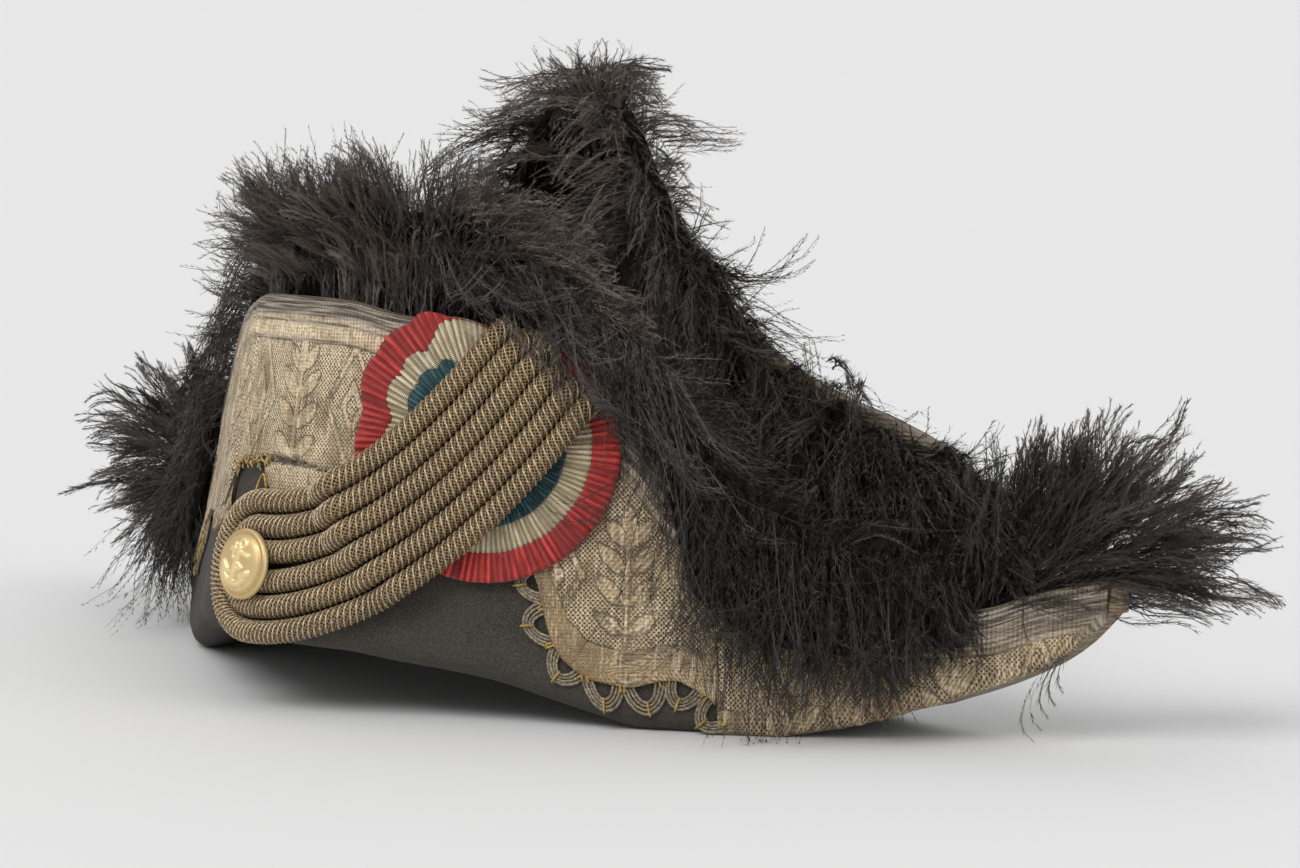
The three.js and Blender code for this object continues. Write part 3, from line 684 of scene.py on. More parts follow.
def ribbon_look(name, deep, bright):
    look = Look(name, 0.5, sheen=0.1)
    u, v = look.uv()
    worn = look.noise(5, 4.0)
    rib = look.waves(v, 0.55)
    streak = look.streaks(u, v, 1.1, 9.0)
    fold = look.value("fold")
    shade = look.mix(look.span(streak, 0.34, 0.66), deep, bright)
    # Painted shade in the creases between the pleats, darker on the pleats that stand lower
    crease_shaded = look.mix(look.span(fold, 0.05, 0.75, 0.8, 0.0), shade, tuple(0.3 * c for c in deep[:3]) + (1,))
    colour = look.mix(look.span(worn, 0.55, 0.8, 0.0, 0.4), crease_shaded, bright)
    return look.finish(colour, look.plus(rib, worn), 0.12)


def brass_look():
    look = Look("gilt_brass", 0.3, metallic=0.75)
    recess = look.value("recess")
    rubbed = look.noise(2.4, 4.0)
    gold = look.mix(look.span(rubbed, 0.35, 0.7), (1.0, 0.80, 0.44, 1), (0.95, 0.72, 0.38, 1))
    # Darker brown in the relief's hollows and the groove round the dome: dirt and painted shade
    colour = look.mix(look.times(recess, 0.62), gold, (0.42, 0.25, 0.085, 1))
    return look.finish(colour, rubbed, 0.06, look.span(rubbed, 0.3, 0.75, 0.36, 0.54))


def feather_look():
    look = Look("ostrich_feather", 0.48, specular=0.5)
    shade = look.value("shade")
    down = look.noise(0.9, 3.0)
    base = look.mix(shade, (0.007, 0.006, 0.005, 1), (0.18, 0.144, 0.121, 1))
    colour = look.mix(look.span(down, 0.45, 0.75, 0.0, 0.25), base, (0.085, 0.070, 0.060, 1))
    return look.finish(colour, down, 0.4)


# Near-black material for the padded core: painted deep shade inside the feather mass
def core_shade_look():
    look = Look("feather_core_shade", 1.0, specular=0.0)
    down = look.noise(1.4, 4.0)
    colour = look.mix(down, (0.004, 0.004, 0.003, 1), (0.020, 0.017, 0.014, 1))
    return look.finish(colour, down, 0.8)


def floor_look():
    look = Look("pale_floor", 0.85, specular=0.2)
    colour = look.mix(look.noise(400), grey(0.765), grey(0.775))
    return look.finish(colour)


# Felt body

FELT_EVEN_END = 205
TROUGH_END_DEPTH = 0.5
CORNER_SHRINKS = 0.85
CROWN_SIDES = 96
BULGE = 1.1
DENT = 0.9


def felt_side(point_at, x, height):
    """One flap's line round its wall: fold, outer face, rounded edge, inner face and the trough's corner"""
    x = x[:, None]
    height = height[:, None]
    radius = fold_radius(height)
    closes = step_between(np.abs(x), *TROUGH_CLOSES)
    floor = FELT + (height - FELT - TROUGH_END_DEPTH) * closes
    corner = TROUGH_CORNER * (1 - CORNER_SHRINKS * closes)
    half = FELT / 2
    up = np.linspace(0, 1, 10)[None]
    fold = rolled_point(point_at, x, radius, np.radians(np.linspace(0, FOLD_DEGREES, 8))[None], 0)
    outer = point_at(x, radius + (height - half - radius) * up, 0)
    turn = np.radians(np.linspace(22, 158, 5))[None]
    rim = point_at(x, height - half + half * np.sin(turn), half * np.cos(turn) - half)
    down = np.maximum(height - half - floor - corner, 0.01)
    inner = point_at(x, floor + corner + down * up[:, ::-1], -FELT)
    bend = np.radians((30, 60, 90))[None]
    turned = point_at(x, floor + corner * (1 - np.sin(bend)), corner * (np.cos(bend) - 1) - FELT)
    return np.concatenate([fold, outer, rim, inner, turned], axis=1)


def crown_dome(inset, base_drop):
    """The crown as a closed dome whose open end follows the bottom of the hat"""
    levels = np.concatenate([[19], np.linspace(30, 100, 15), [102.5, 104.2, 105]])
    length = smooth(CROWN_OVALS, "length", "z")(levels)[:, None] - inset
    width = smooth(CROWN_OVALS, "width", "z")(levels)[:, None] - inset
    angle = full_turn(CROWN_SIDES)[None]
    x = length * np.cos(angle)
    y = CROWN_CENTRE_Y + width * np.sin(angle)
    z = np.repeat(levels[:, None] - inset, CROWN_SIDES, axis=1)
    z[0] = bottom_at(x[0]) - base_drop
    dent = DENT * wander(x / 21, y / 17, z / 25) * step_between(z, 45, 70)
    return closed_loft(stack(x, y, z - dent))


def plain_object(name, points, faces):
    mesh = bpy.data.meshes.new(name)
    mesh.from_pydata(to_frame(points).tolist(), [], [row for group in faces for row in group.tolist()])
    face_outward(mesh)
    return link(name, mesh)


def face_outward(mesh):
    """Turns a closed mesh right side out by the sign of its volume"""
    mesh.calc_loop_triangles()
    corners = np.array([t.vertices for t in mesh.loop_triangles])
    points = np.array([v.co for v in mesh.vertices])
    a, b, c = (points[corners[:, k]] for k in range(3))
    if np.einsum("ij,ij->", a, np.cross(b, c)) < 0:
        mesh.flip_normals()


def combine(piece, other, operation):
    """Joins or cuts one closed mesh with another, which is then removed"""
    modifier = piece.modifiers.new(operation.lower(), "BOOLEAN")
    modifier.operation = operation
    modifier.solver = "EXACT"
    modifier.object = other
    whole = bpy.data.meshes.new_from_object(piece.evaluated_get(bpy.context.evaluated_depsgraph_get()))
    piece.modifiers.remove(modifier)
    piece.data = whole
    bpy.data.objects.remove(other)


def make_felt():
    """Crown and both turned-up flaps in one piece, hollow underneath"""
    inner = np.linspace(-FELT_EVEN_END, FELT_EVEN_END, 131)
    tips = np.array([209, 213, 217, 221, 225, HORN_X])
    x = np.concatenate([-tips[::-1], inner, tips])
    near = felt_side(near_point, x, near_height(x))
    far = felt_side(far_point, x, far_height(x))
    rings = np.concatenate([near, far[:, ::-1]], axis=1)
    station, depth, height = np.moveaxis(rings, -1, 0)
    bulge = BULGE * wander(station / 33, height / 29) * step_between(depth, 30, 55)
    bulge = bulge * step_between(height, 25, 50) * step_between(FELT_EVEN_END - np.abs(station), 0, 60)
    rings[..., 1] += bulge
    rings[..., 2] = np.maximum(rings[..., 2], 0)
    piece = plain_object("felt_shell", *closed_loft(rings))
    combine(piece, plain_object("crown", *crown_dome(0, -FELT / 2)), "UNION")
    combine(piece, plain_object("head_hollow", *crown_dome(FELT, 12)), "DIFFERENCE")
    piece.data.polygons.foreach_set("use_smooth", [True] * len(piece.data.polygons))
    piece.data.set_sharp_from_angle(angle=math.radians(50))
    piece.data.materials.clear()
    piece.data.materials.append(felt_look())
    return dress(piece, "felt", "felt_body")


# Lace

LACE_COLUMN = 0.95
LACE_ROWS = 62
ROW_EASING = 1.12
LACE_TOP_INSET = 1.2
BEAD_SPAN = 4.2
OFF_FLOOR = 0.15
FRAY_DEPTH = 0.9
FRAY_ENDS = (34, 44)
WRAPS_FROM = 120
FOLD_WRAP = math.radians(FOLD_DEGREES)
MOTIF_PITCH = 50
MOTIF_DEPTH = 33
FIGURE_RELIEF = 0.32
LOBE_MOTIF_Z = 46
LOBE_STARTS = (60, 80)
LOBE_ENDS = (150, 180)
HEM_STARTS = (70, 86)
HEM_ENDS = (152, 166)
HEM_ZIGZAG = 6.2
SOLE_START_X = 176
STEEPEST_EDGE = 1.4

# Where a remnant of the torn lace hangs lower, over the button
REMNANT = (-6, -1, 27, 34)
REMNANT_DROP = 8

# The leaves of one spray, and the diamonds between sprays: size and half width of the line
DIAMONDS = ((11, 1.1), (4, 1.4))
MOTIF_LEAVES = table(
    "foot turn length width", (-18, 36, 12, 2.5), (-18, 144, 12, 2.5), (-9, 40, 13, 2.7), (-9, 140, 13, 2.7),
    (0, 44, 13, 2.6), (0, 136, 13, 2.6), (8, 50, 11, 2.4), (8, 130, 11, 2.4), (11, 90, 9, 2.4))

# Ribs along the upper edge, the hem and the grey edging, and creases across the band
BORDER_RIBS = table("middle half height", (5, 2.6, 1), (8.5, 0.8, 0.45), (12, 2.6, 0.6))
HEM_RIBS = table("middle half height", (1.3, 1.5, 0.7), (4.6, 1.5, 0.25), (7.6, 1.4, 0.25))
GREY_RIBS = table("middle half height", (8.5, 0.9, 0.3), (9.4, 0.35, 0.9), (14.8, 0.45, 0.9))
DART_AT = 141
DART_SLANT = 0.16
CREASES = table("middle half height", (-28, 2.2, 0.9), (-35, 1.8, 0.5), (-21, 1.3, 0.4))

# What the lace material reads from each piece of lace
LACE_VALUES = ("u", "v", "figure", "tarnish", "edge", "tear", "thread", "rib")


def leaf_share(u, v, turn, length, width):
    """1 inside a pointed leaf that starts at its foot, 0 on its vein and outside"""
    angle = math.radians(turn)
    along = (u * math.cos(angle) + v * math.sin(angle) - 0.6) / length
    across = np.abs(-u * math.sin(angle) + v * math.cos(angle))
    half = width * np.sin(np.pi * np.clip(along, 0, 1)) ** 0.8
    vein = 0.4 * fade(across, 0.2, 0.5) * step_between(half, 0.8, 1.4)
    return step_between(half - across, -0.25, 0.5) - vein


def woven_line(away, half):
    """1 on a line of the woven figure, 0 beside it"""
    return step_between(half - away, -0.2, 0.3)


def lace_figure(u, v):
    """The woven figure: sprays of leaves on stems, and diamonds of fine lines between them"""
    shift = 9 + 17 * step_between(u, *LOBE_STARTS)
    offset = (u - shift + MOTIF_PITCH / 2) % MOTIF_PITCH - MOTIF_PITCH / 2
    tall = MOTIF_DEPTH - v
    share = woven_line(np.abs(offset), 0.8) * step_between(22 - np.abs(tall), 0, 2)
    for foot, turn, length, width in zip(*MOTIF_LEAVES.values()):
        share = np.maximum(share, leaf_share(offset, tall - foot, turn, length, width))
    from_between = np.abs(np.abs(offset) - MOTIF_PITCH / 2)
    diamond = from_between + 0.6 * np.abs(tall)
    lines = np.maximum.reduce([woven_line(np.abs(diamond - size), half) for size, half in DIAMONDS])
    return np.maximum(share, lines * (from_between < 11.5))


def ridge(value, middle, half):
    """A rounded rib: 1 on its middle line, 0 at its sides"""
    return np.sqrt(np.clip(1 - ((value - middle) / half) ** 2, 0, 1))


def ribs(value, rows):
    """Height of a row of rounded ribs"""
    return sum(height * ridge(value, middle, half) for middle, half, height in zip(*rows.values()))


def hem_share(s):
    """1 where the lower edge of the lace has a sewn hem, 0 by the button and on the horns"""
    return window(np.abs(s), HEM_STARTS, HEM_ENDS)


def lace_layout():
    """Columns along the band with its edges: station, arc, edge heights and the length of each column"""
    end = ARC_LENGTH + (LACE_END_X - ARC_END_X) / math.cos(HORN_TURN)
    s = np.linspace(-end, end, int(2 * end / LACE_COLUMN))
    x = station_at(s)
    top = near_height(x) - LACE_TOP_INSET
    radius = fold_radius(near_height(x))
    torn = window(s, REMNANT[:2], REMNANT[2:])
    woven_low = np.where(s > 0, lace_low_at(x), lace_low_rear_at(x))
    ragged = FRAY_DEPTH * wander(s / 1.7) * fade(np.abs(s), *FRAY_ENDS)
    low = np.maximum(woven_low + ragged, radius + 0.2) - REMNANT_DROP * torn
    wrap = radius * FOLD_WRAP * fade(low - radius, 0.4, 1.6) * (np.abs(s) > WRAPS_FROM)
    edge = running(np.hypot(np.diff(s), np.diff(top + bottom_at(x))))
    u = edge - np.interp(0, s, edge)
    return {"s": s, "x": x, "top": top, "low": low, "radius": radius, "wrap": wrap, "u": u}


def lace_point(columns, down, out):
    """A point of the band from how far down its column it is; past the wall it follows the rolled fold"""
    x = columns["x"][:, None]
    wall = (columns["top"] - columns["low"])[:, None]
    flat = near_point(x, columns["top"][:, None] - np.minimum(down, wall), out)
    radius = columns["radius"][:, None]
    angle = np.pi / 2 - np.maximum(down - wall, 0) / radius
    rolled = rolled_point(near_point, x, radius, angle, out)
    rolled[..., 2] = np.maximum(rolled[..., 2], OFF_FLOOR)
    return np.where((down > wall)[..., None], rolled, flat)


TEAR_ARC = (-27, 27)
TEAR_TOP = 73.4
TEAR_BOW = 3.4
TEAR_DEPTH = 1.7


def tear_share(s, z):
    """1 along the slit in the lace above the button"""
    middle = (TEAR_ARC[0] + TEAR_ARC[1]) / 2
    half = (TEAR_ARC[1] - TEAR_ARC[0]) / 2
    bow = np.clip(1 - ((s - middle) / half) ** 2, 0, 1)
    line = TEAR_TOP + TEAR_BOW * bow + step_between(s, middle, TEAR_ARC[1])
    return step_between(0.45 + 0.6 * bow - np.abs(z - line), -0.1, 0.35) * (bow > 0)


def lace_relief(s, z, from_top, from_low, figure, tear):
    """Distance of the lace's face off the felt: ribs along both edges, raised figure, creases and the slit"""
    dart = ridge(s - DART_SLANT * (z - 30), DART_AT, 2.4) * step_between(s, 130, 136)
    face = LACE_FACE + 0.25 + ribs(from_top, BORDER_RIBS) + hem_share(s) * ribs(from_low, HEM_RIBS)
    face = face + FIGURE_RELIEF * figure + ribs(s, CREASES) + 0.7 * dart
    return face + 0.35 * wander(s / 19, z / 15) - TEAR_DEPTH * tear


def lace_tarnish(s, z, from_low):
    """How brown the gold is: more toward the front, more on the hem, where the extra brown is partly tarnish
    and partly painted shade along the lower edge, and a little less on the horn
    """
    # The gold is browner toward the front half
    browner_toward_front = step_between(s, -5, 110)
    aged = np.clip(0.1 + 0.6 * browner_toward_front + 0.3 * wander(s / 27, z / 21), 0, 1)
    aged = aged - 0.06 * step_between(s, 120, 185)
    # Browner hem: partly tarnish, partly painted shade along the lace's lower edge
    return aged + 0.3 * hem_share(s) * fade(from_low, 9, 11)


def grey_edging(s, from_top):
    """Where the lace is grey: its rolled edge and thin ribs, and a band from the cockade on, under the
    hanging feathers, that is partly grey silver and partly painted shadow of those feathers
    """
    rolled = fade(from_top, 7.2, 7.7)
    # Band under the hanging feathers: grey silver with painted shadow of the feathers on it
    band = 0.75 * step_between(s, 88, 104) * fade(from_top, 13, 15)
    return np.maximum(np.maximum(rolled * 0.9, ribs(from_top, GREY_RIBS)), band)


def make_lace(gold):
    """The band on the near flap, with a bead rolled over the edge; gives back its columns"""
    columns = lace_layout()
    s, u, x, top, low, wrap = (columns[name][:, None] for name in ("s", "u", "x", "top", "low", "wrap"))
    length = top - low + wrap
    down = length * np.linspace(0, 1, LACE_ROWS)[None] ** ROW_EASING
    z = top - down + bottom_at(x)

    def square_to(edge, distance):
        slope = np.gradient(columns[edge] + bottom_at(columns["x"]), columns["s"])[:, None]
        return distance / np.hypot(1, np.clip(slope, -STEEPEST_EDGE, STEEPEST_EDGE))

    from_top = BEAD_SPAN + square_to("top", down)
    from_low = square_to("low", length - down)
    in_hem = hem_share(s) * fade(from_low, 9.5, 10.3)
    inside = step_between(from_top, 14.6, 15.4) * (1 - in_hem)
    on_lobe = window(s, LOBE_STARTS, LOBE_ENDS)
    depth = from_top + (MOTIF_DEPTH + LOBE_MOTIF_Z - z - from_top) * on_lobe
    figure = lace_figure(s, depth) * (0.8 + 0.35 * wander(s / 9, z / 8)) * inside
    tear = tear_share(s, z)
    front = lace_point(columns, down, lace_relief(s, z, from_top, from_low, figure, tear))
    turn = np.radians(np.linspace(185, 8, 11))[None]
    lift = EDGE_BEAD * (1 + 0.05 * wander(s / 23))
    bead = near_point(x, top + lift * np.sin(turn), EDGE_BEAD * np.cos(turn) - FELT / 2 + 0.3)
    back = lace_point(columns, np.concatenate([length, length * 0.6, length * 0], axis=1), 0.15)
    over = near_point(x, top + np.array([[1.5, 0]]), np.array([[-1.25, -2.8]]))

    blank = np.zeros((len(s), back.shape[1] + over.shape[1]))
    ones = np.ones((len(s), bead.shape[1]))
    dark_bead = (0.85 + 0.15 * wander(s / 13)) * ones
    zigzag = 1.4 * np.abs((from_low + HEM_ZIGZAG / 2) % HEM_ZIGZAG - HEM_ZIGZAG / 2)
    zigzag = zigzag * fade(from_low, 9, 10) * hem_share(s)

    def along_rings(bead_value, front_value):
        rows = np.concatenate([bead_value * ones, front_value + 0 * down, blank], axis=1)
        return np.append(rows.ravel(), (0, 0))

    build = Build(*LACE_VALUES)
    build.add(
        *closed_loft(np.concatenate([bead, front, back, over], axis=1)),
        u=along_rings(s, s),
        v=along_rings(np.degrees(turn) / -45, z),
        figure=along_rings(1, np.maximum(figure, 1 - inside)),
        tarnish=along_rings(0.5, lace_tarnish(s, z, from_low)),
        edge=along_rings(dark_bead, grey_edging(s, from_top)),
        tear=along_rings(0, tear),
        thread=along_rings(u, u + zigzag + 0.8 * np.maximum(from_top - 15, 0)),
        rib=along_rings(np.linspace(-9, 4, bead.shape[1])[None], from_top))
    make_piece("gold_lace", build, [gold], "lace", "lace")
    return columns


def horn_sole(half):
    """The lace turned under the rising end of a horn, from the near fold to the far one"""
    x = half * np.linspace(SOLE_START_X, HORN_X, 14)[:, None]
    near_angle = np.radians(np.linspace(80, 0, 5))[None]
    faces = []
    for out in (0.9, 0.2):
        near = rolled_point(near_point, x, fold_radius(near_height(x)), near_angle, out)
        far = rolled_point(far_point, x, fold_radius(far_height(x)), near_angle[:, ::-1], out)
        faces.append(np.concatenate([near, far], axis=1))
    return np.concatenate([faces[0], faces[1][:, ::-1]], axis=1)


def add_binding(build, rings, along, rib=None, **values):
    """A closed strip of plain lace; along is the axis that it runs in"""
    points, faces = closed_loft(rings)
    height = points[:, 2]
    ribbed = height if rib is None else rib
    build.add(points, faces, u=points[:, along], v=height, figure=0.9, thread=height, rib=ribbed, **values)


FAR_BAND_END = 198
FAR_BAND_PATH = table(
    "down out", (15, -2.7), (15, -3.4), (12, -3.6), (11, -3.9), (10, -3.6), (4, -3.7), (3, -4), (2, -3.7),
    (0, -3.2), (-1, -1.25), (0, 0.7), (7, 0.9), (7, 0.2), (0.5, 0.2), (-0.2, -1.25), (0.5, -2.7))


def make_far_band(gold):
    """The tarnished band that binds the edge of the far flap, with a rib along it"""
    x = np.linspace(-FAR_BAND_END, FAR_BAND_END, 199)[:, None]
    rings = far_point(x, far_height(x) - FAR_BAND_PATH["down"][None], FAR_BAND_PATH["out"][None])
    rings[..., 2] += 0.2 * wander(rings[..., 0] / 9)
    steps = np.diff(stack(*FAR_BAND_PATH.values()), axis=0, prepend=0)
    across = np.tile(np.cumsum(np.hypot(*steps.T)), len(x))
    build = Build(*LACE_VALUES)
    add_binding(build, rings, 0, np.append(across, (0, 0)), tarnish=1.5, edge=0.3)
    make_piece("far_edge_lace", build, [gold], "lace")


def make_tip(half, gold):
    """The end of the lace, turned round the tip of a horn"""
    x = np.array(half * (HORN_X - 0.6))
    share = np.linspace(0, 1, 9)[:, None]
    near = near_point(x, near_height(x) * share + 0.6 * share - 0.2, 1.5)
    far = far_point(x, far_height(x) * share + 0.6 * share - 0.2, 0.6)
    turn = np.linspace(0, np.pi, 11)[None, :, None]
    across = near + (far - near) * (1 - np.cos(turn)) / 2
    outside = across + np.sin(turn) * np.array((half * 2.6, 0, 0)) + np.array((half * 0.8, 0, 0))
    inside = across[:, ::-1] - np.array((half * 0.6, 0, 0))
    build = Build(*LACE_VALUES)
    for rings in (np.concatenate([outside, inside], axis=1), horn_sole(half)):
        add_binding(build, rings, 1, tarnish=1.2, edge=0.4)
    make_piece("lace_tip_front" if half > 0 else "lace_tip_rear", build, [gold], "lace")


PICOT_LOOPS = 4
PICOT_STEPS = 17
PICOT_HALF_WIDTH = 6.7
PICOT_DROP = 8.8
PICOT_TUCK = 0.8
PICOT_THREAD = 0.52
TIE_THREAD = 0.38
THREAD_SIDES = 5
FRAYED_COUNT = 120
STITCH_COUNT = 26

# Places of the finishes in the piece of threads
SILVER = 0
YELLOW = 1
STRAW = 2


def make_picots(columns):
    """Thread loops along the lower edge of the lace, tied with yellow thread, and loose torn ends"""
    silver = thread_look("picot_thread", (0.15, 0.12, 0.085, 1), (0.40, 0.335, 0.24, 1), 0.5, 0.3)
    yellow = thread_look("yellow_thread", (0.30, 0.18, 0.03, 1), (0.62, 0.42, 0.11, 1), 0.55, 0.0)
    straw = thread_look("frayed_thread", (0.30, 0.235, 0.14, 1), (0.66, 0.54, 0.37, 1), 0.6, 0.1)
    rng = np.random.default_rng(11)
    build = Build()
    s, low = columns["s"], columns["low"]
    for half in (1, -1):
        reach = (half * s > PICOT_STARTS[half]) & (half * s < PICOT_END)
        line = stack(s[reach], low[reach])[::half]
        height = line[:, 1] + bottom_at(station_at(line[:, 0]))
        length = running(np.hypot(np.diff(line[:, 0]), np.diff(height)))
        for middle in np.arange(length[-1] - 2, 5, -PICOT_PITCH):
            add_picot(build, line, length, middle, half, rng)
    torn = ((frayed_threads(rng), STRAW), (yellow_loop(), YELLOW), (tear_stitches(rng), YELLOW))
    for threads, finish in torn:
        add_threads(build, *threads, finish)
    make_piece("lace_picots", build, [silver, yellow, straw], "lace")


def add_threads(build, flat, radius, finish):
    """Threads that lie on the flap: arc, height over the fold and distance off the felt at each step"""
    lines = on_flap(flat[..., 0], flat[..., 1], flat[..., 2])
    outward = on_flap(flat[..., 0], flat[..., 1], flat[..., 2] + 1) - lines
    points, faces = tubes(lines, radius, THREAD_SIDES, outward)
    build.add(points, faces, finish)


def add_picot(build, line, length, middle, half, rng):
    """One scallop of nested loops on the lace's lower edge, with its yellow ties"""
    def edge_at(place):
        return np.array([np.interp(place, length, line[:, k]) for k in (0, 1)])

    foot = edge_at(middle)
    along = unit(edge_at(middle + 4) - edge_at(middle - 4))
    down = np.array([along[1], -along[0]]) * half
    size = rng.uniform(0.9, 1.08)
    phase = np.linspace(0, np.pi, PICOT_STEPS)
    flats = []
    for k in range(PICOT_LOOPS):
        wide = (PICOT_HALF_WIDTH - 1.1 * k) * size
        deep = (PICOT_DROP - 1.05 * k) * size
        aside = -np.cos(phase) * wide * (1 - 0.12 * np.sin(phase))
        flat = foot + aside[:, None] * along + (np.sin(phase) * deep - PICOT_TUCK)[:, None] * down
        flats.append(np.concatenate([flat, np.full((PICOT_STEPS, 1), 0.75 + 0.25 * (k % 2))], axis=1))
    add_threads(build, np.array(flats), PICOT_THREAD, SILVER)
    apex = foot + down * (PICOT_DROP - PICOT_TUCK) * size
    ties = [(apex - 3.6 * down, apex + 1.0 * down)]
    for place in (-6.5, -5.2, 5.4):
        start = foot + along * (place + rng.normal(0, 0.4)) - down * 1.4
        ties.append((start, start + down * rng.uniform(2, 3.4) + along * rng.normal(0, 0.8)))
    share = np.linspace(0, 1, 5)[:, None]
    lift = 1.4 + 0.5 * np.sin(np.pi * share)
    for start, end in ties:
        flat = start + (end - start) * share
        add_threads(build, np.concatenate([flat, lift], axis=1)[None], TIE_THREAD, YELLOW)


def frayed_threads(rng):
    """Loose warp ends below the worn lower edge of the lace at the left of the button"""
    count = FRAYED_COUNT
    in_hole = rng.uniform(0, 1, count) < 0.14
    start = np.where(in_hole, rng.uniform(-26, -1, count), rng.uniform(-44, -26.5, count))
    length = np.where(in_hole, rng.uniform(0.5, 3.5, count), rng.uniform(1.5, 7, count))
    share = np.linspace(0, 1, 7)[None]
    s = start[:, None] + rng.normal(0, 1.2, count)[:, None] * share ** 2
    w = lace_low_rear_at(station_at(start))[:, None] + 1.5 - length[:, None] * share - 1.5 * share
    out = 1.3 + rng.uniform(0, 1.0, count)[:, None] * np.sin(2.6 * share)
    return stack(s, w, out), rng.uniform(0.14, 0.3, count)[:, None, None, None]


def yellow_loop():
    """The loop of yellow thread that hangs out of the tear"""
    turn = np.linspace(-0.4, 5.2, 25)
    s = -3.5 + 2.4 * np.cos(turn)
    w = 48 + 3.4 * np.sin(turn)
    return stack(s, w, 2.4 + 0.4 * np.sin(2 * turn))[None], 0.4


def tear_stitches(rng):
    """Yellow thread left along the slit"""
    count = STITCH_COUNT
    start = rng.uniform(-25, -1, count)
    share = np.linspace(0, 1, 5)[None]
    s = start[:, None] + rng.normal(0, 1.4, count)[:, None] * share
    foot = lace_low_rear_at(start)[:, None] + rng.normal(0, 0.7, count)[:, None]
    w = foot + rng.uniform(-2.4, 2, count)[:, None] * share
    return stack(s, w, 2.2 + 0.5 * np.sin(np.pi * share)), 0.3


# Cockade

PLEAT_STEPS = 6
RIBBON_OVERLAP = 0.6

# Where round the cockade its ribbons are loose, flare, reach over one another and are pressed in by the cords
LOOSEST_AT = math.radians(152)
TOP_AT = math.radians(84)
FLARE_STARTS = (103, 122)
FLARE_ENDS = (142, 172)
COVERED_WITHIN = (0.80, 0.92)
PRESSED_WITHIN = (0.90, 1.0)
PRESSED_RADII = (28, 38)
PRESSED_IN = 4.5


def cockade_frame():
    """The cockade's middle, its directions along and up the flap, and outward"""
    centre = unrolled_point(*COCKADE_PLACE, LACE_FACE + GAP)
    along = np.array((math.cos(HORN_TURN), math.sin(HORN_TURN), 0))
    inward = np.array((-along[1], along[0], 0))
    up = unit(np.array((0, 0, 1)) + NEAR_LEAN * inward)
    return centre + RIM_SHIFT * along, along, up, np.cross(along, up)


def petals(angle):
    """Big soft folds round the cockade, loosest toward its upper left"""
    loose = 0.12 + 0.88 * step_between(np.cos(angle - LOOSEST_AT), 0.0, 0.6)
    return loose * (1.7 * np.abs(np.sin(8.5 * angle + 0.9 * np.sin(3 * angle))) - 1)


def flare(angle):
    """1 at the upper left of the cockade, where its ribbons spread outward"""
    return window(np.degrees(angle), FLARE_STARTS, FLARE_ENDS)


def at_top(angle, within):
    """1 at the top of the cockade, under the cords"""
    return step_between(np.cos(angle - TOP_AT), *within)


def make_ribbon(name, inside, outside, swings, flares, shifts, lift, look):
    """One ring of finely pleated ribbon; swings, flares and shifts are those of its inner and outer edge"""
    turns = COCKADE_PLEATS * PLEAT_STEPS
    rng = np.random.default_rng(31)
    angle = full_turn(turns)
    step = np.arange(turns) % PLEAT_STEPS / PLEAT_STEPS
    # Each pleat's depth sets its relief and, through the silk material, how dark its painted crease shade is
    uneven = np.repeat(rng.uniform(0.35, 1.15, COCKADE_PLEATS), PLEAT_STEPS)
    fold = (1 - np.abs(2 * step - 0.7)) * uneven
    wave, spread, covered = petals(angle), flare(angle), at_top(angle, COVERED_WITHIN)
    low = inside + swings[0] * wave + flares[0] * spread + shifts[0] * covered
    high = outside + swings[1] * wave + flares[1] * spread + shifts[1] * covered
    share = np.linspace(0, 1, 7)
    radius = low[:, None] + (high - low)[:, None] * share
    pressed = at_top(angle, PRESSED_WITHIN)[:, None]
    radius = radius - PRESSED_IN * pressed * step_between(radius, *PRESSED_RADII)
    puff = 0.4 * np.sin(np.pi * share)[None] + 0.7 * (wave[:, None] + 0.4) * share * swings[1]
    face = 1.25 + lift + 0.9 * fold[:, None] * (0.35 + 0.65 * share) + puff
    turned = angle[:, None] + 0.012 * fold[:, None]
    centre, along, up, out = cockade_frame()

    def place(radius, height):
        ray = np.cos(turned)[..., None] * along + np.sin(turned)[..., None] * up
        return centre + radius[..., None] * ray + height[..., None] * out

    front = place(radius, face)
    back_radius = radius[:, [6, 3, 0]]
    back = place(back_radius, np.full((turns, 3), 0.05 + 0.6 * lift))
    rings = np.concatenate([front, back], axis=1)
    count, size = rings.shape[:2]
    build = Build("u", "v", "fold")
    u = np.repeat(angle * outside, size)
    v = np.concatenate([radius, back_radius], axis=1).ravel()
    build.add(rings, [grid_faces(count, size, True, True)], u=u, v=v, fold=np.repeat(fold, size))
    make_piece(name, build, [look], name, name.replace("ribbon", "cockade"))


def make_cockade():
    rim = COCKADE_RADIUS - RIM_DRAWN_IN
    red = rim - COCKADE_BAND
    cream = red - GAP - CREAM_BAND
    red_silk = ribbon_look("red_silk", (0.42, 0.018, 0.016, 1), (0.86, 0.08, 0.064, 1))
    cream_silk = ribbon_look("cream_silk", (0.62, 0.48, 0.27, 1), (1.0, 0.9, 0.64, 1))
    blue_silk = ribbon_look("blue_silk", (0.008, 0.050, 0.068, 1), (0.07, 0.24, 0.25, 1))
    make_ribbon("ribbon_red", red, rim, (0.8, 0.7), (4.5, 5), (9.2, 0), 0.55, red_silk)
    make_ribbon(
        "ribbon_cream", cream, red + RIBBON_OVERLAP, (0.6, 0.8), (6, 4.5), (0, 9.2), 0.25, cream_silk)
    make_ribbon(
        "ribbon_blue", COCKADE_HOLE, cream + RIBBON_OVERLAP, (0.2, 0.6), (0, 6), (0, 0), 0, blue_silk)


# Looped cords

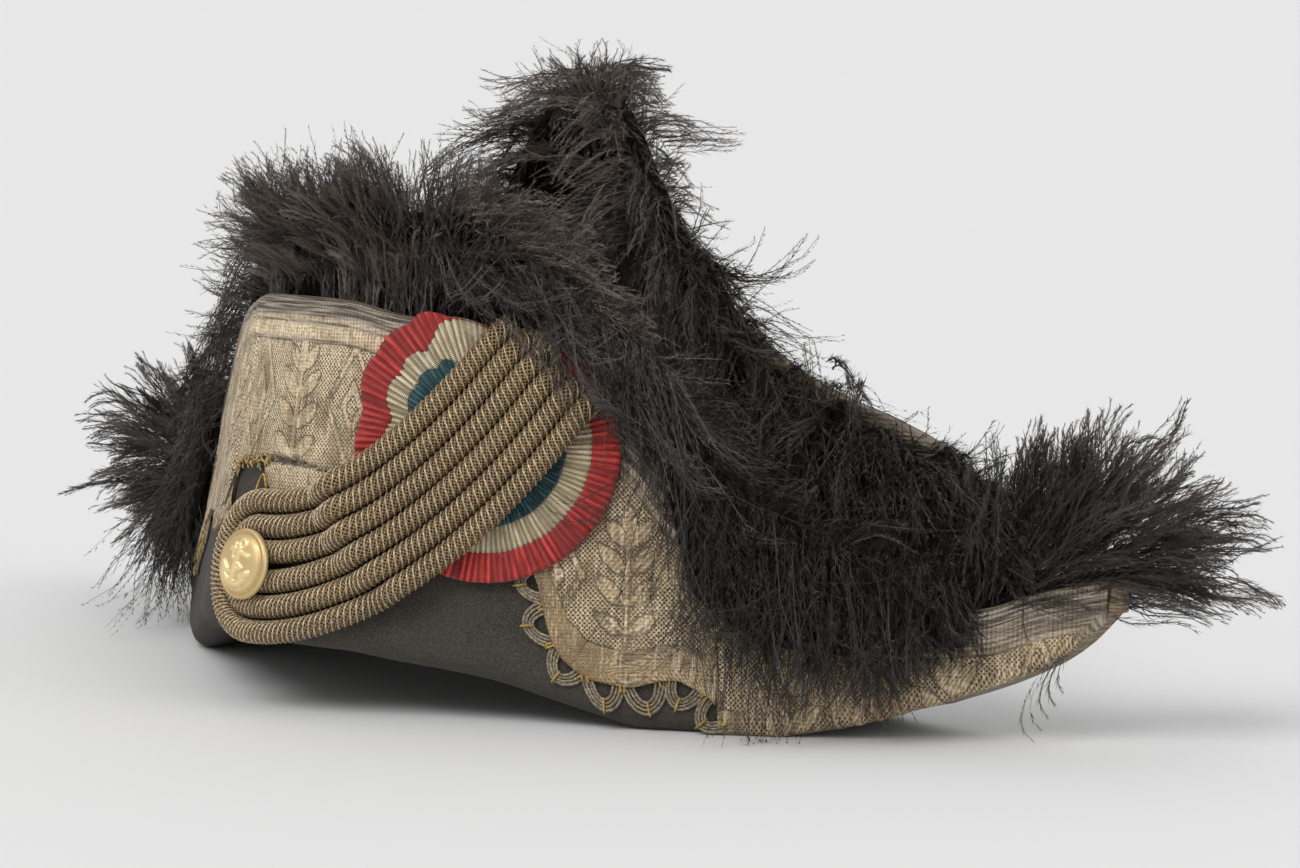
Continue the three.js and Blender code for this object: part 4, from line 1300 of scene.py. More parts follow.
def cord_lift(s, z):
    """Height of a cord's middle over the felt: on the felt by the button, up on the cockade beyond"""
    on_felt = GAP + CORD_RADIUS
    on_cockade = LACE_FACE + 3 * GAP + 2 + CORD_RADIUS
    away = np.hypot(s - COCKADE_PLACE[0], z - COCKADE_PLACE[1]) - COCKADE_RADIUS
    climb = fade(away, *CORD_CLIMB)
    stand_off = np.maximum(0, ARC_LENGTH - s) ** 2 / (2 * WRAP_RADIUS)
    return on_felt + (on_cockade + stand_off - on_felt) * climb


def ganse_points(t, aside):
    """Points beside the middle line of the cords, on the unrolled flap"""
    t = t[:, None]
    a, b, c, d = GANSE_LINE
    middle = (1 - t) ** 3 * a + 3 * (1 - t) ** 2 * t * b + 3 * (1 - t) * t ** 2 * c + t ** 3 * d
    ahead = unit((1 - t) ** 2 * (b - a) + 2 * (1 - t) * t * (c - b) + t ** 2 * (d - c))
    beside = aside * (1 - CORD_NARROWING * t) - np.sign(aside) * INNER_GAP * step_between(t, 0.05, 0.3)
    return middle + beside * stack(-ahead[:, 1], ahead[:, 0])


ROUTE_STEPS = 160
LOOP_STEPS = 40
END_STEPS = 20
CORE_SIDES = 16
CORE_STEP = 1.2
WIRE_SIDES = 4
WIRE_STEPS_A_TURN = 15
LOOP_REACH = 48


def cord_route(loop_radius):
    """Points of one doubled cord, down to the button, round it and back, with outward directions"""
    t = np.linspace(0, CORD_SHARE, ROUTE_STEPS)
    angle = np.pi * (0.5 + np.linspace(0.02, 0.98, LOOP_STEPS))
    loop = GANSE_LINE[0] + loop_radius * stack(np.cos(angle), np.sin(angle))
    down, back = ganse_points(t[::-1], loop_radius), ganse_points(t, -loop_radius)
    over = np.radians(np.linspace(6, 120, END_STEPS))[:, None]
    ends = []
    for side in (down[::-1], back):
        ends.append(side[-1] + CORD_END_BEND * np.sin(over) * unit(side[-1] - side[-2]))
    flat = np.concatenate([ends[0][::-1], down, loop, back, ends[1]])
    lift = cord_lift(flat[:, 0], flat[:, 1])
    sink = CORD_END_BEND * (1 - np.cos(over[:, 0]))
    lift[:END_STEPS] = lift[END_STEPS] - sink[::-1]
    lift[-END_STEPS:] = lift[-END_STEPS - 1] - sink
    line = unrolled_point(flat[:, 0], flat[:, 1], lift)
    outward = unrolled_point(flat[:, 0], flat[:, 1], lift + 1) - line
    length = running(np.linalg.norm(np.diff(line, axis=0), axis=1))
    return length, line, outward


def make_cord(name, loop_radius, ground, wire):
    """A core covered in crimped wire, with a stouter wire wound over it"""
    length, line, outward = cord_route(loop_radius)

    def at(places):
        point = np.stack([np.interp(places, length, line[:, k]) for k in range(3)], axis=-1)
        out = unit(np.stack([np.interp(places, length, outward[:, k]) for k in range(3)], axis=-1))
        ahead = unit(np.gradient(point, axis=0))
        aside = unit(np.cross(ahead, out))
        return point, aside, np.cross(aside, ahead)

    core_radius = CORD_RADIUS - 1.25 * WIRE_RADIUS
    places = np.linspace(0, length[-1], int(length[-1] / CORE_STEP))
    point, aside, up = at(places)
    sides = CORE_SIDES
    angle = np.linspace(0, 2 * np.pi, sides + 1)
    ring = np.cos(angle)[:, None] * aside[:, None] + np.sin(angle)[:, None] * up[:, None]
    rings = point[:, None] + core_radius * ring
    build = Build("u", "v")
    rim = np.arange(sides)
    caps = np.stack([rim[::-1], rim + (len(places) - 1) * (sides + 1)])
    build.add(rings, [grid_faces(len(places), sides + 1), caps],
              u=np.tile(angle * core_radius, len(places)), v=np.repeat(places, sides + 1))
    places = np.linspace(0, length[-1], int(WIRE_STEPS_A_TURN * length[-1] / WIRE_LEAD))
    from_loop = (places - length[-1] / 2) / LOOP_REACH
    lead = WIRE_LEAD + (WIRE_LEAD_AT_LOOP - WIRE_LEAD) * np.exp(-from_loop ** 2)
    winding = np.cumsum((places[1] - places[0]) / lead)
    point, aside, up = at(places)
    for start in range(WIRE_STARTS):
        turn = 2 * np.pi * (winding + start / WIRE_STARTS)[:, None]
        out = np.cos(turn) * aside + np.sin(turn) * up
        coil = point + (CORD_RADIUS - WIRE_RADIUS) * out
        points, faces = tubes(coil[None], WIRE_RADIUS, WIRE_SIDES, out[None])
        build.add(points, faces, 1)
    make_piece("cord_" + name, build, [ground, wire], "bullion", "ganse_" + name)


def make_cords():
    ground = bullion_look()
    wire = thread_look("bullion_wire", (0.34, 0.26, 0.16, 1), (0.82, 0.68, 0.47, 1), 0.4, 0.4)
    for k, name in enumerate(("inner", "middle", "outer")):
        make_cord(name, INNER_LOOP_RADIUS + k * CORD_PITCH, ground, wire)


# Button

DOME_RINGS = 46
DOME_REACH = 9.6
DOME_FOOT = 2.35
DOME_RISE = 2.4
RELIEF_RINGS = 44
GROOVE_END = 50
BUTTON_SIDES = 144
BUTTON_TILT = math.radians(-14)
BUTTON_RIM = table(
    "r h", (9.5, 2.35), (9.8, 2.6), (10.2, 2.75), (10.7, 2.5), (11, 1.9), (11, 0.9), (9.8, 0.1), (4, 0))


def bar(a, b, start, end, half):
    """Rounded height of a bar between two points, 0 outside it"""
    start, end = np.array(start, float), np.array(end, float)
    run = end - start
    share = np.clip(((a - start[0]) * run[0] + (b - start[1]) * run[1]) / (run @ run), 0, 1)
    away = np.hypot(a - start[0] - share * run[0], b - start[1] - share * run[1])
    return ridge(away, 0, half) * half


def ring_bar(a, b, centre, radius, half, open_low=-4, open_high=4):
    """Rounded height of a ring, or of its part between two angles"""
    away = np.hypot(a - centre[0], b - centre[1])
    angle = np.arctan2(b - centre[1], a - centre[0])
    inside = (angle > open_low) & (angle < open_high)
    return np.where(inside, ridge(away, radius, half) * half, 0)


def anchor_relief(a, b):
    """A plain anchor with a rope across it"""
    shapes = [
        bar(a, b, (0, -6.0), (0, 4.9), 1.1), bar(a, b, (-3.9, 3.6), (3.9, 3.6), 0.9),
        ring_bar(a, b, (0, 6.3), 1.3, 0.6), ring_bar(a, b, (0, -0.6), 5.7, 1.1, -2.75, -0.4),
        bar(a, b, (-5.8, -1.6), (-3.6, -3.0), 1.2), bar(a, b, (5.8, -1.6), (3.6, -3.0), 1.2),
        bar(a, b, (-2.9, 5.5), (-2.2, 1.4), 0.7), bar(a, b, (-2.2, 1.4), (2.9, -0.6), 0.7),
        bar(a, b, (2.9, -0.6), (-2.5, -4.0), 0.7)]
    return np.maximum.reduce(shapes)


def make_button():
    """A domed button with a rim, its relief turned a little on the flap"""
    dome = np.linspace(0.05, 9.1, DOME_RINGS)
    swell = DOME_FOOT + DOME_RISE * np.sqrt(np.clip(1 - (dome / DOME_REACH) ** 2, 0, 1))
    radius = np.concatenate([dome, BUTTON_RIM["r"]])
    height = np.concatenate([swell, BUTTON_RIM["h"]])
    angle = full_turn(BUTTON_SIDES)
    a = radius[:, None] * np.cos(angle)
    b = radius[:, None] * np.sin(angle)
    relief = anchor_relief(a, b) * (np.arange(len(radius)) < RELIEF_RINGS)[:, None]
    tall = height[:, None] + 0.85 * relief
    lift = GAP * 2 + CORD_RADIUS * 2
    s, z = GANSE_LINE[0]
    seat = unrolled_point(s, z, lift)
    out = unit(unrolled_point(s, z, lift + 1) - seat)
    along = unit(unrolled_point(s + 1, z, lift) - seat)
    up = np.cross(out, along)
    right = math.cos(BUTTON_TILT) * along + math.sin(BUTTON_TILT) * up
    upright = np.cross(out, right)
    points = seat + a[..., None] * right + b[..., None] * upright + tall[..., None] * out
    # Dirt and painted shade in the hollows of the relief and in the groove round the dome
    recess = np.zeros(a.shape)
    recess[:RELIEF_RINGS] = 0.55 * fade(relief[:RELIEF_RINGS], 0.05, 0.35)
    recess[RELIEF_RINGS:GROOVE_END] = 0.9
    build = Build("recess")
    shell, faces = closed_loft(points)
    build.add(shell, faces, recess=np.concatenate([recess.ravel(), [0, 0]]))
    make_piece("button_gilt", build, [brass_look()], "gilt_brass", "button")


# Feathers

# Feathers are eased in to stay near the part's box, the soft trim a little proud of it: start and end of
# easing in X, Y, Z
SOFT_LIMITS = table("start end", (258, 272), (93, 103), (197, 213))
FEATHERS_OFF_FLOOR = 0.4

# Barbs: how many draw together, where on their lines they start, how much of them they take, and shades
CLUMP = 6
BARB_STEPS = 26
BARB_STARTS = (0.12, 0.66)
DRAPE_STARTS = (0.36, 0.76)
BARB_SHARES = (0.4, 0.62)
SHADES = (0.25, 0.9)
DARKEST_SHADE = 0.05

# The strip along a barb's middle, and the barbules on both its sides
SPINE_STEP = 5
SPINE_HALF_WIDTH = 0.25
BARE_STEPS = 2
BARBULE_HALF_BASE = 0.36
BARBULE_LENGTH = (3.4, 6.2)
BARBULE_LEAN = 0.3
BARBULE_ROLL = 0.8

# How barbs curl and gather
STRAY_AXIS = 0.4
STRAY_TURN = 0.35
CURL_EASING = 1.6
WAVINESS = 0.3
GATHER_PULL = 0.4
GATHER_EASING = 1.3

# Short barbs on the padded core
UNDERCOAT_LENGTH = (14, 24)
UNDERCOAT_STEPS = 16


def held_in(points):
    """Eases the outermost barbs in, and keeps them off the floor"""
    start, end = SOFT_LIMITS["start"], SOFT_LIMITS["end"]
    size = np.abs(points)
    eased = end - (end - start) * np.exp(-np.maximum(size - start, 0) / (end - start))
    held = np.sign(points) * np.where(size > start, eased, size)
    held[..., 2] = np.maximum(held[..., 2], FEATHERS_OFF_FLOOR)
    return held


def add_spines(build, lines, tone, aside):
    """Narrow tapering strips along the middles of the barbs"""
    count, steps = lines.shape[:2]
    width = SPINE_HALF_WIDTH * np.linspace(1, 0.25, steps)[:, None]
    points = held_in(np.stack([lines + aside * width, lines - aside * width], axis=2))
    faces = grid_faces(steps, 2)[None] + (np.arange(count) * steps * 2)[:, None, None]
    build.add(points, [faces.reshape(-1, 4)], shade=np.repeat(tone, 2, axis=1).ravel())


def add_barbs(build, lines, shade, rng):
    """Barbs with a thin spine and rows of fine barbules that lean toward its tip"""
    count, steps = lines.shape[:2]
    ahead = unit(np.gradient(lines, axis=1))
    aside = unit(np.cross(ahead, unit(rng.normal(size=(count, 1, 3)))))
    up = np.cross(aside, ahead)
    along = np.linspace(0, 1, steps)[None, :]
    tone = np.clip(shade[:, None] * (0.5 + 0.65 * along), 0, 1)
    add_spines(build, lines[:, ::SPINE_STEP], tone[:, ::SPINE_STEP], aside[:, ::SPINE_STEP])
    size = rng.uniform(*BARBULE_LENGTH, count)[:, None] * (1 - 0.7 * along ** 2)
    for side in (0, np.pi):
        roll = (side + rng.normal(0, BARBULE_ROLL, (count, steps)))[..., None]
        lean = rng.normal(BARBULE_LEAN, 0.12, (count, steps))[..., None]
        length = (size * rng.uniform(0.5, 1.15, (count, steps)))[..., None]
        ray = aside * np.cos(roll) + up * np.sin(roll)
        tip = lines + length * (ahead * np.cos(lean) + ray * np.sin(lean))
        base = BARBULE_HALF_BASE * ahead
        points = held_in(np.stack([lines - base, lines + base, tip], axis=2)[:, BARE_STEPS:])
        faces = np.arange(points[..., 0].size).reshape(-1, 3)
        build.add(points, [faces], shade=np.repeat(tone[:, BARE_STEPS:], 3, axis=1).ravel())


def curled(lines, turn, rng):
    """Turns the barbs of a clump aside together, most at their tips, each a little in its own way"""
    count, steps = lines.shape[:2]
    groups = -(-count // CLUMP)
    along = np.linspace(0, 1, steps - 1)[None, :, None]
    parts = np.diff(lines, axis=1)
    together = np.repeat(rng.normal(size=(groups, 1, 3)), CLUMP, axis=0)[:count]
    stray = together + STRAY_AXIS * rng.normal(size=(count, 1, 3))
    axis = unit(np.cross(lines[:, -1:] - lines[:, :1], stray))
    strength = np.repeat(rng.normal(size=groups), CLUMP)[:count] + STRAY_TURN * rng.normal(size=count)
    angle = (turn * strength)[:, None, None] * along ** CURL_EASING
    angle = angle + WAVINESS * np.sin(2 * np.pi * (1.3 * along + rng.uniform(0, 1, (count, 1, 1))))
    across = np.sum(axis * parts, axis=-1, keepdims=True)
    turned = parts * np.cos(angle) + np.cross(axis, parts) * np.sin(angle)
    turned = turned + axis * across * (1 - np.cos(angle))
    return np.concatenate([lines[:, :1], lines[:, :1] + np.cumsum(turned, axis=1)], axis=1)


def gathered(lines, pull):
    """Barbs of one clump draw together toward their tips"""
    steps = lines.shape[1]
    groups = lines.reshape(-1, CLUMP, steps, 3)
    share = pull * np.linspace(0, 1, steps)[None, None, :, None] ** GATHER_EASING
    return (groups + (groups[:, :1] - groups) * share).reshape(-1, steps, 3)


def for_clumps(rng, count, low, high):
    """A value for each clump, the same for all its barbs"""
    return np.repeat(rng.uniform(low, high, count // CLUMP), CLUMP)


def grow(build, controls, light, turn, rng, starts=BARB_STARTS):
    """Adds barbs, each along a part of its row of control points, so that they start all over the mass"""
    count = len(controls)
    pick = partial(for_clumps, rng, count)
    start = pick(*starts) + rng.normal(0, 0.02, count)
    share = pick(*BARB_SHARES)
    start = np.minimum(start, 1 - share)
    shares = start[:, None] + share[:, None] * np.linspace(0, 1, BARB_STEPS)
    lines = gathered(curled(through(controls, shares), turn, rng), GATHER_PULL)
    # light is painted light and shade, set for each group of barbs by where it stands in the light
    tone = light * (pick(*SHADES) + rng.normal(0, 0.08, count))
    add_barbs(build, lines, np.clip(tone, DARKEST_SHADE, 1), rng)


def near_controls(x, half, rise, out, drop, sway, deeper, fall):
    """Lines of the near feathers: up from inside the edge, then standing or falling over it"""
    points = []
    for depth in BACKING_DEPTHS:
        points.append(near_point(half * x, near_height(x) - depth, -NEAR_INSET - deeper))
    for k in range(4):
        standing = {name: column[k] for name, column in STANDING_LINE.items()}
        falling = {name: column[k] for name, column in FALLING_LINE.items()}
        step = {name: standing[name] + (falling[name] - standing[name]) * fall for name in standing}
        station = np.clip(x + step["sway"] * sway, -20, HORN_X - 4)
        height = near_height(station)
        over = step["rise"] * rise - step["hang"] * drop * height
        off = step["out"] * out - step["inset"] * (NEAR_INSET + deeper)
        points.append(near_point(half * station, height + over, off))
    return np.stack(points, axis=1)


def far_controls(x, half, rise, reach, tip, sway, deeper):
    """Lines of the far feathers: over the edge, toward the near flap and down"""
    points = []
    for depth in BACKING_DEPTHS:
        points.append(far_point(half * x, far_height(x) - depth - deeper, -FAR_INSET))
    for k in range(4):
        step = {name: column[k] for name, column in FAR_LINE.items()}
        over = step["rise"] * rise + step["tip"] * tip - deeper
        point = far_point(half * x, far_height(x) + over, -FAR_INSET - step["reach"] * reach)
        point[..., 0] += step["sway"] * sway
        points.append(point)
    return np.stack(points, axis=1)


def between(grid, a, b):
    """Values of a grid of points at fractional rows and columns"""
    i, j = a.astype(int), b.astype(int)
    fa, fb = (a - i)[:, None], (b - j)[:, None]
    first = grid[i, j] * (1 - fb) + grid[i, j + 1] * fb
    second = grid[i + 1, j] * (1 - fb) + grid[i + 1, j + 1] * fb
    return first * (1 - fa) + second * fa


def still(share):
    """No flow beside the lines' own"""
    return 0


CORE_THICKNESS = np.array((1, 1.5, 2, 2.6, 3, 3, 2.4, 1.4, 0.4))[:, None]
UNDERCOAT_LINE = ((0, -0.06), (0.3, 0.14), (0.65, 0.28), (1, 0.34))


def feather_core(build, controls, count, painted_light_at, flow_at, rng):
    """A padded sheet inside the barbs that lets no light through, painted near-black as the deep shade in the
    mass, with short barbs over both its sides
    """
    lines = through(controls, np.linspace(0.1, 0.82, len(CORE_THICKNESS))[None])
    ahead = unit(np.gradient(lines, axis=1))
    normal = unit(np.cross(ahead, np.gradient(lines, axis=0)))
    padding = CORE_THICKNESS * normal
    rings = held_in(np.concatenate([lines + padding, (lines - padding)[:, ::-1]], axis=1))
    points, faces = closed_loft(rings)
    # The core takes the near-black painted-shade material
    build.add(points, faces, 1)
    row = rng.uniform(0, len(lines) - 1.01, count)
    column = 1.2 + 6.75 * np.sqrt(rng.uniform(0, 1, count))
    share = row / (len(lines) - 1)
    side = rng.choice((-1.0, 1.0), count)[:, None]
    out = side * unit(between(normal, row, column))
    stray = rng.normal(0, 0.3, (count, 3))
    along = unit(between(ahead, row, column) + flow_at(share) + stray)
    thickness = between(np.broadcast_to(CORE_THICKNESS, lines.shape), row, column)
    root = between(lines, row, column) + out * thickness
    length = rng.uniform(*UNDERCOAT_LENGTH, count)[:, None]
    steps = [root + length * (forward * along + away * out) for forward, away in UNDERCOAT_LINE]
    barbs = through(np.stack(steps, axis=1), np.linspace(0, 1, UNDERCOAT_STEPS)[None])
    tone = painted_light_at(share) * rng.uniform(0.35, 0.75, count)
    add_barbs(build, curled(barbs, 0.5, rng), np.clip(tone, DARKEST_SHADE, 1), rng)


# Stations between which the groups of the near feathers grow, and how they lean
MOUND_X = (0, 112)
PARTING_X = (18, 72)
PARTING_SHARE = 0.45
ARCHING_X = (50, 110)
DRAPE_X = {1: (106, 186), -1: (106, 216)}
TROUGH_X = (112, 203)
CORE_END_X = 190
SWAY_COLUMN = {1: "front_sway", -1: "rear_sway"}
REAR_LOWER = 0.26


def near_rise(x, half):
    """Height of the feathers over the near edge, lower on the rear half"""
    return near_plume["rise"](x) * (1 - REAR_LOWER * step_between(-half * x, 6, 46))


def mound_lines(half, clumps, rng):
    """Barbs that stand along the middle of the near edge, and arch away from their parting"""
    count = clumps * CLUMP
    pick = partial(for_clumps, rng, count)
    at_parting = pick(0, 1) < PARTING_SHARE
    parted = pick(*PARTING_X)
    spread = pick(*MOUND_X)
    middle = np.where(at_parting, parted, spread)
    x = np.maximum(middle + rng.normal(0, 3, count), 0.3)
    low = pick(0, 1) ** 1.4
    rise = near_rise(x, half) * (1.02 - 0.7 * low ** 1.5) * rng.uniform(0.92, 1.05, count)
    out = near_plume["out"](x) * (pick(-0.5, 1.4) + rng.normal(0, 0.12, count))
    sway = near_plume[SWAY_COLUMN[half]](x) * (0.15 + 1.25 * low) + 7 * wander(middle / 7, low * 3)
    return near_controls(x, half, rise, out, 0, sway, pick(-3, 12), 0)


def arching_lines(half, clumps, rng):
    """Barbs that arch from beside the parting along the edge, in front of the cockade's upper rim"""
    count = clumps * CLUMP
    pick = partial(for_clumps, rng, count)
    x = pick(*ARCHING_X) + rng.normal(0, 3, count)
    rise = pick(15, 32)
    out = pick(7, 13)
    drop = pick(-0.34, 0.03)
    sway = pick(14, 46) + rng.normal(0, 2, count)
    return near_controls(x, half, rise, out, drop, sway, 0, 1)


def drape_lines(half, clumps, rng):
    """Barbs that fall over the near edge, down to the drape's ragged lower edge"""
    count = clumps * CLUMP
    pick = partial(for_clumps, rng, count)
    middle = pick(*DRAPE_X[half])
    x = middle + rng.normal(0, 3, count)
    rise = near_plume["rise"](x) * pick(0.5, 1.5)
    out = pick(3, 17)
    sway = near_plume[SWAY_COLUMN[half]](x) * pick(-0.5, 1.5) + 6 * wander(middle / 5)
    covered = 1 - bare_at[half](x + 0.4 * sway)
    drop = covered * pick(0.9, 1.24) + rng.normal(0, 0.03, count)
    return near_controls(x, half, rise, out, drop, sway, 0, 1)


def trough_lines(half, clumps, rng):
    """Barbs that stand and lie in the trough behind the near edge"""
    count = clumps * CLUMP
    pick = partial(for_clumps, rng, count)
    x = np.minimum(pick(*TROUGH_X) + rng.normal(0, 3, count), 204)
    rise = near_plume["rise"](x) * rng.uniform(0.7, 1.1, count) + pick(2, 24)
    out = pick(-30, 2)
    sway = pick(6, 34) + rng.normal(0, 2, count)
    return near_controls(x, half, rise, out, 0, sway, 0, 0)


def near_core(half):
    """Middle lines of the near feathers"""
    x = np.linspace(1.5, CORE_END_X, 38)
    rise = near_rise(x, half) * (0.72 - 0.24 * step_between(x, 54, 78))
    sway = 0.5 * near_plume[SWAY_COLUMN[half]](x)
    drop = 0.86 * (1 - bare_at[half](x + sway))
    return near_controls(x, half, rise, 0.4 * near_plume["out"](x), drop, sway, 5, near_plume["fall"](x))


# Groups of the near feathers: their lines, lightness, curl, and where on its line a barb may start; the
# lightness is painted light and shade, high on the standing mound and low on the hanging and trough feathers
NEAR_GROUPS = (
    (mound_lines, 1.35, 0.45, BARB_STARTS), (arching_lines, 0.58, 0.4, BARB_STARTS),
    (drape_lines, 0.13, 1.2, DRAPE_STARTS), (trough_lines, 0.24, 1.2, BARB_STARTS))


def make_near_plume(name, half, clumps, feather, seed):
    """Feathers of the near flap, in groups: standing mound, arching, hanging and in the trough"""
    rng = np.random.default_rng(seed)
    build = Build("shade")

    # Painted shade on the undercoat where the feathers fall over the edge
    def painted_light_at(share):
        return 1 - 0.8 * near_plume["fall"](CORE_END_X * share)

    feather_core(build, near_core(half), 3 * sum(clumps), painted_light_at, still, rng)
    for (lines_for, light, turn, starts), number in zip(NEAR_GROUPS, clumps):
        grow(build, lines_for(half, number, rng), light, turn, rng, starts)
    make_piece("feathers_" + name, build, feather, "feather", name)


# The far feathers' fan, the bare band beside it, and the lock over the mound
FAN_ENDS_X = (22, 60)
FAN_REACH = 38
FAR_CORE_END_X = 196
TUCKED_SHARE = 0.88
BAND_SHOWS_X = (66, 84, 152, 198)
BAND_DEPTH = 14
LOCK_X = (12, 52)
LOCK_CLUMPS = 18


def below_band(x):
    """How far the far feathers start below the edge, where its band shows"""
    return BAND_DEPTH * step_between(x, *BAND_SHOWS_X[:2]) * fade(x, *BAND_SHOWS_X[2:])


def lock_lines(rng):
    """The lock that lies from the peak over the rear of the mound"""
    count = LOCK_CLUMPS * CLUMP
    pick = partial(for_clumps, rng, count)
    x = pick(*LOCK_X) + rng.normal(0, 2, count)
    rise = pick(8, 20)
    reach = pick(26, 50)
    tip = pick(-8, 6)
    sway = -pick(24, 46) + rng.normal(0, 2, count)
    return far_controls(x, -1, rise, reach, tip, sway, 0)


def far_lines(half, clumps, rng):
    """Barbs of the far flap, a fan on its peak and then a fall, with each one's share in the fan"""
    # The fan opens across the photograph's view, so its barbs reach to the camera's right and left
    right_x, right_y = math.cos(CAMERA_TURN), math.sin(CAMERA_TURN)
    count = clumps * CLUMP
    pick = partial(for_clumps, rng, count)
    middle = pick(0, 1) ** 1.7 * FAR_CORE_END_X
    x = np.clip(middle + rng.normal(0, 2.4, count), 0.3, FAR_BAND_END)
    fan = fade(x, *FAN_ENDS_X)
    turn = np.radians(pick(-85, 70))
    aside = FAN_REACH * np.sin(turn) * fan
    deeper = np.maximum(pick(-30, 62), 0) * (0.35 + 0.65 * fan)
    deeper = deeper + below_band(x) * (pick(0, 1) < TUCKED_SHARE)
    rise = far_plume["rise"](x) * pick(0.6, 1.25) * (1 - 0.35 * fan * np.abs(np.sin(turn)))
    reach = far_plume["reach"](x) * pick(-0.4, 1.5) - right_y * aside
    reach = np.maximum(reach + rng.normal(0, 1.5, count), -16 + 14 * (deeper > 4))
    tip = far_plume["tip"](x) * pick(0.1, 1.15)
    tip = tip + fan * (9 * np.cos(turn) - 8 * np.abs(np.sin(turn)))
    sway = half * far_plume["sway"](x) * pick(0.2, 1.8) * (1 - 0.7 * fan)
    sway = sway + right_x * aside + rng.normal(0, 2, count)
    return far_controls(x, half, rise, reach, tip, sway, deeper), fan


def far_core(half):
    """Middle lines of the far feathers"""
    x = np.linspace(1.5, FAR_CORE_END_X, 38)
    rise, reach, tip, sway = (far_plume[name](x) for name in ("rise", "reach", "tip", "sway"))
    return far_controls(x, half, 0.7 * rise, 0.6 * reach, 0.5 * tip, 0.4 * half * sway, 1.2 * below_band(x))


def make_far_plume(name, half, clumps, feather, seed):
    """Feathers of the far flap, with a lock over the mound on the rear half"""
    rng = np.random.default_rng(seed)
    lines, fan = far_lines(half, clumps, rng)
    build = Build("shade")

    # Painted light on the undercoat of the fan on the peak, painted shade on the rest
    def painted_light_at(share):
        return 0.3 + 0.8 * (share < 0.2)

    def flow_at(share):
        return step_between(share, 0.15, 0.3)[:, None] * np.array((half * 1.3, 0, -0.5))

    feather_core(build, far_core(half), 3 * clumps, painted_light_at, flow_at, rng)
    # Painted light: the fan on the peak is much lighter than the fall behind it
    grow(build, lines, 0.3 + 2.1 * fan, 1.1 - 0.6 * fan, rng)
    if half < 0:
        grow(build, lock_lines(rng), 0.45, 0.45, rng)
    make_piece("feathers_" + name, build, feather, "feather", name)


TUFT_STATIONS = (194, 221)
HANGING_STRANDS = 5
TUFT_FAN = table("lift reach", (-10, 62), (10, 72), (28, 76), (44, 75), (58, 70), (75, 58), (98, 46))
TUFT_LOWEST = {1: -4, -1: -40}
TUFT_AXIS = {1: math.radians(42), -1: math.radians(196)}


def hanging_strands():
    """A few loose barbs that hang from under the tip of the front horn"""
    x = np.linspace(212, 217, HANGING_STRANDS)
    length = np.linspace(22, 12, HANGING_STRANDS)
    points = []
    for share, off in ((-0.4, -4), (0, -1), (0.35, 1), (0.6, 1), (0.8, 1), (1, 1)):
        aside = 6 * math.sin(2.6 * share) * np.linspace(1, 0.4, HANGING_STRANDS)
        points.append(near_point(x - aside, -share * length, off))
    return through(np.stack(points, axis=1), np.linspace(0, 1, BARB_STEPS)[None])


def make_tuft(name, half, clumps, feather, seed):
    """The fan of barbs on a horn's tip, from straight up to a little below level"""
    rng = np.random.default_rng(seed)
    count = clumps * CLUMP
    pick = partial(for_clumps, rng, count)
    station = pick(*TUFT_STATIONS) + rng.normal(0, 1.5, count)
    root = near_point(half * station, near_height(station) - 4, -FELT - 2) + rng.normal(0, 1.2, (count, 3))
    degrees = pick(TUFT_LOWEST[half], 96)
    lift = np.radians(degrees)
    aside = np.repeat(rng.normal(0, math.radians(36), clumps), CLUMP)
    turn = TUFT_AXIS[half] + aside * (0.35 + 0.65 * np.abs(np.sin(lift)))
    reach = np.interp(degrees, TUFT_FAN["lift"], TUFT_FAN["reach"]) * pick(0.6, 1.05)
    reach = reach * rng.uniform(0.9, 1.05, count) * (1 if half > 0 else 0.8)
    flat = stack(np.cos(turn), np.sin(turn), 0) * np.cos(lift)[:, None]
    ray = flat + stack(0, 0, np.sin(lift))
    droop = (0.16 * reach * np.cos(lift))[:, None]
    points = []
    for share in (0, 0.2, 0.45, 0.7, 0.87, 1):
        fall = stack(0, 0, 1) * (0.7 * share * (1 - share) + 0.35 * share - share ** 2.4)
        lifted = stack(0, 0, 7 * min(1, 3 * share))
        points.append(root + ray * (reach * share)[:, None] + droop * fall + lifted)
    build = Build("shade")
    grow(build, np.stack(points, axis=1), 0.54, 0.5, rng)
    if half > 0:
        add_barbs(build, hanging_strands(), np.full(HANGING_STRANDS, 0.4), rng)
    make_piece("feathers_" + name, build, feather, "feather", name)


def make_feathers():
    feather = [feather_look(), core_shade_look()]
    make_near_plume("plume_near_front", 1, (178, 70, 118, 66), feather, 21)
    make_near_plume("plume_near_rear", -1, (120, 12, 76, 40), feather, 22)
    make_far_plume("plume_far_front", 1, 340, feather, 23)
    make_far_plume("plume_far_rear", -1, 190, feather, 24)
    make_tuft("tuft_front", 1, 230, feather, 25)
    make_tuft("tuft_rear", -1, 150, feather, 26)


# Stage

FLOOR_HALF = 150
SKY_STRENGTH = 0.56

# Soft suns: strength, width, turn and rise in degrees
SUNS = {"key": (1.3, 35, 10, 48), "fill": (0.55, 60, 100, 35), "back": (0.4, 60, 230, 50)}


def toward(turn, rise):
    """Direction from the hat to something at this turn and rise"""
    return Vector((math.sin(turn) * math.cos(rise), -math.cos(turn) * math.cos(rise), math.sin(rise)))


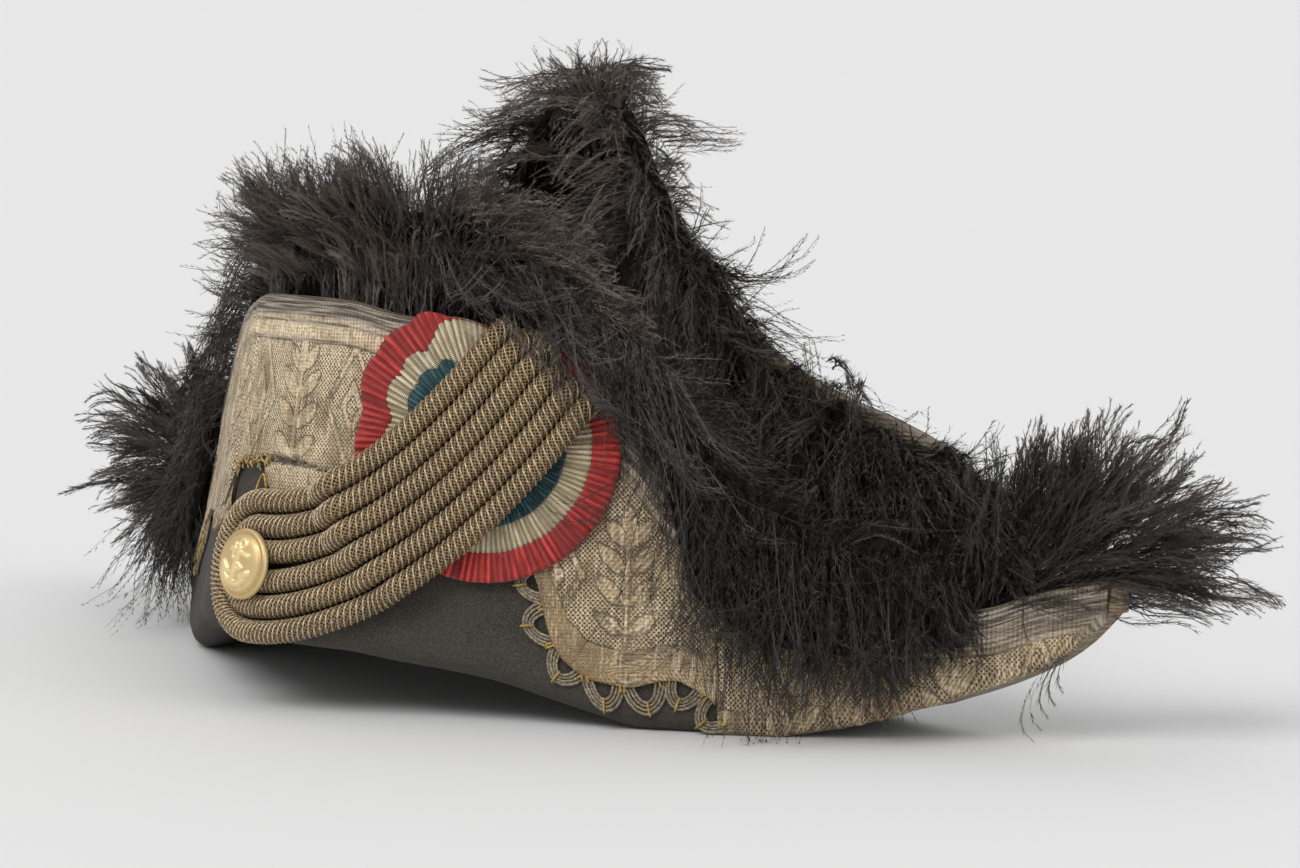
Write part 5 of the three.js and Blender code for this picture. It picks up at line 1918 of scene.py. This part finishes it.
def make_camera():
    data = bpy.data.cameras.new("camera")
    data.sensor_width = 36
    data.lens = FOCAL_PX * data.sensor_width / PHOTO_WIDTH_PX
    data.clip_start = 0.05
    data.clip_end = 500
    camera = link("camera", data)
    back = toward(CAMERA_TURN, CAMERA_RISE)
    camera.location = Vector(to_frame(CAMERA_TARGET)) + back * CAMERA_AWAY * MM
    camera.rotation_euler = back.to_track_quat("Z", "Y").to_euler()
    bpy.context.scene.camera = camera


def make_floor():
    mesh = bpy.data.meshes.new("floor")
    corners = [(FLOOR_HALF * x, FLOOR_HALF * y, 0) for x, y in ((-1, -1), (1, -1), (1, 1), (-1, 1))]
    mesh.from_pydata(corners, [], [(0, 1, 2, 3)])
    mesh.materials.append(floor_look())
    floor = link("floor", mesh)


def add_sun(name, strength, width, turn, rise):
    data = bpy.data.lights.new(name, "SUN")
    data.energy = strength
    data.angle = math.radians(width)
    light_from = toward(math.radians(turn), math.radians(rise))
    link(name, data).rotation_euler = light_from.to_track_quat("Z", "Y").to_euler()


def make_light():
    """A pale sky that is a little darker at the horizon, and soft suns"""
    world = bpy.data.worlds.new("studio")
    bpy.context.scene.world = world
    world.use_nodes = True
    tree = world.node_tree
    height = tree.nodes.new("ShaderNodeSeparateXYZ")
    tree.links.new(tree.nodes.new("ShaderNodeTexCoord").outputs["Generated"], height.inputs[0])
    ramp = tree.nodes.new("ShaderNodeValToRGB")
    for element, place, level in zip(ramp.color_ramp.elements, (0.0, 0.8), (0.85, 1.0)):
        element.position = place
        element.color = grey(level)
    tree.links.new(height.outputs[2], ramp.inputs[0])
    background = tree.nodes["Background"]
    tree.links.new(ramp.outputs[0], background.inputs["Color"])
    background.inputs["Strength"].default_value = SKY_STRENGTH
    for name, settings in SUNS.items():
        add_sun(name, *settings)
    bpy.context.scene.view_settings.view_transform = "Standard"


make_camera()
make_floor()
make_light()
make_felt()
gold_lace = lace_look()
make_picots(make_lace(gold_lace))
make_tip(1, gold_lace)
make_tip(-1, gold_lace)
make_far_band(gold_lace)
make_cockade()
make_cords()
make_button()
make_feathers()
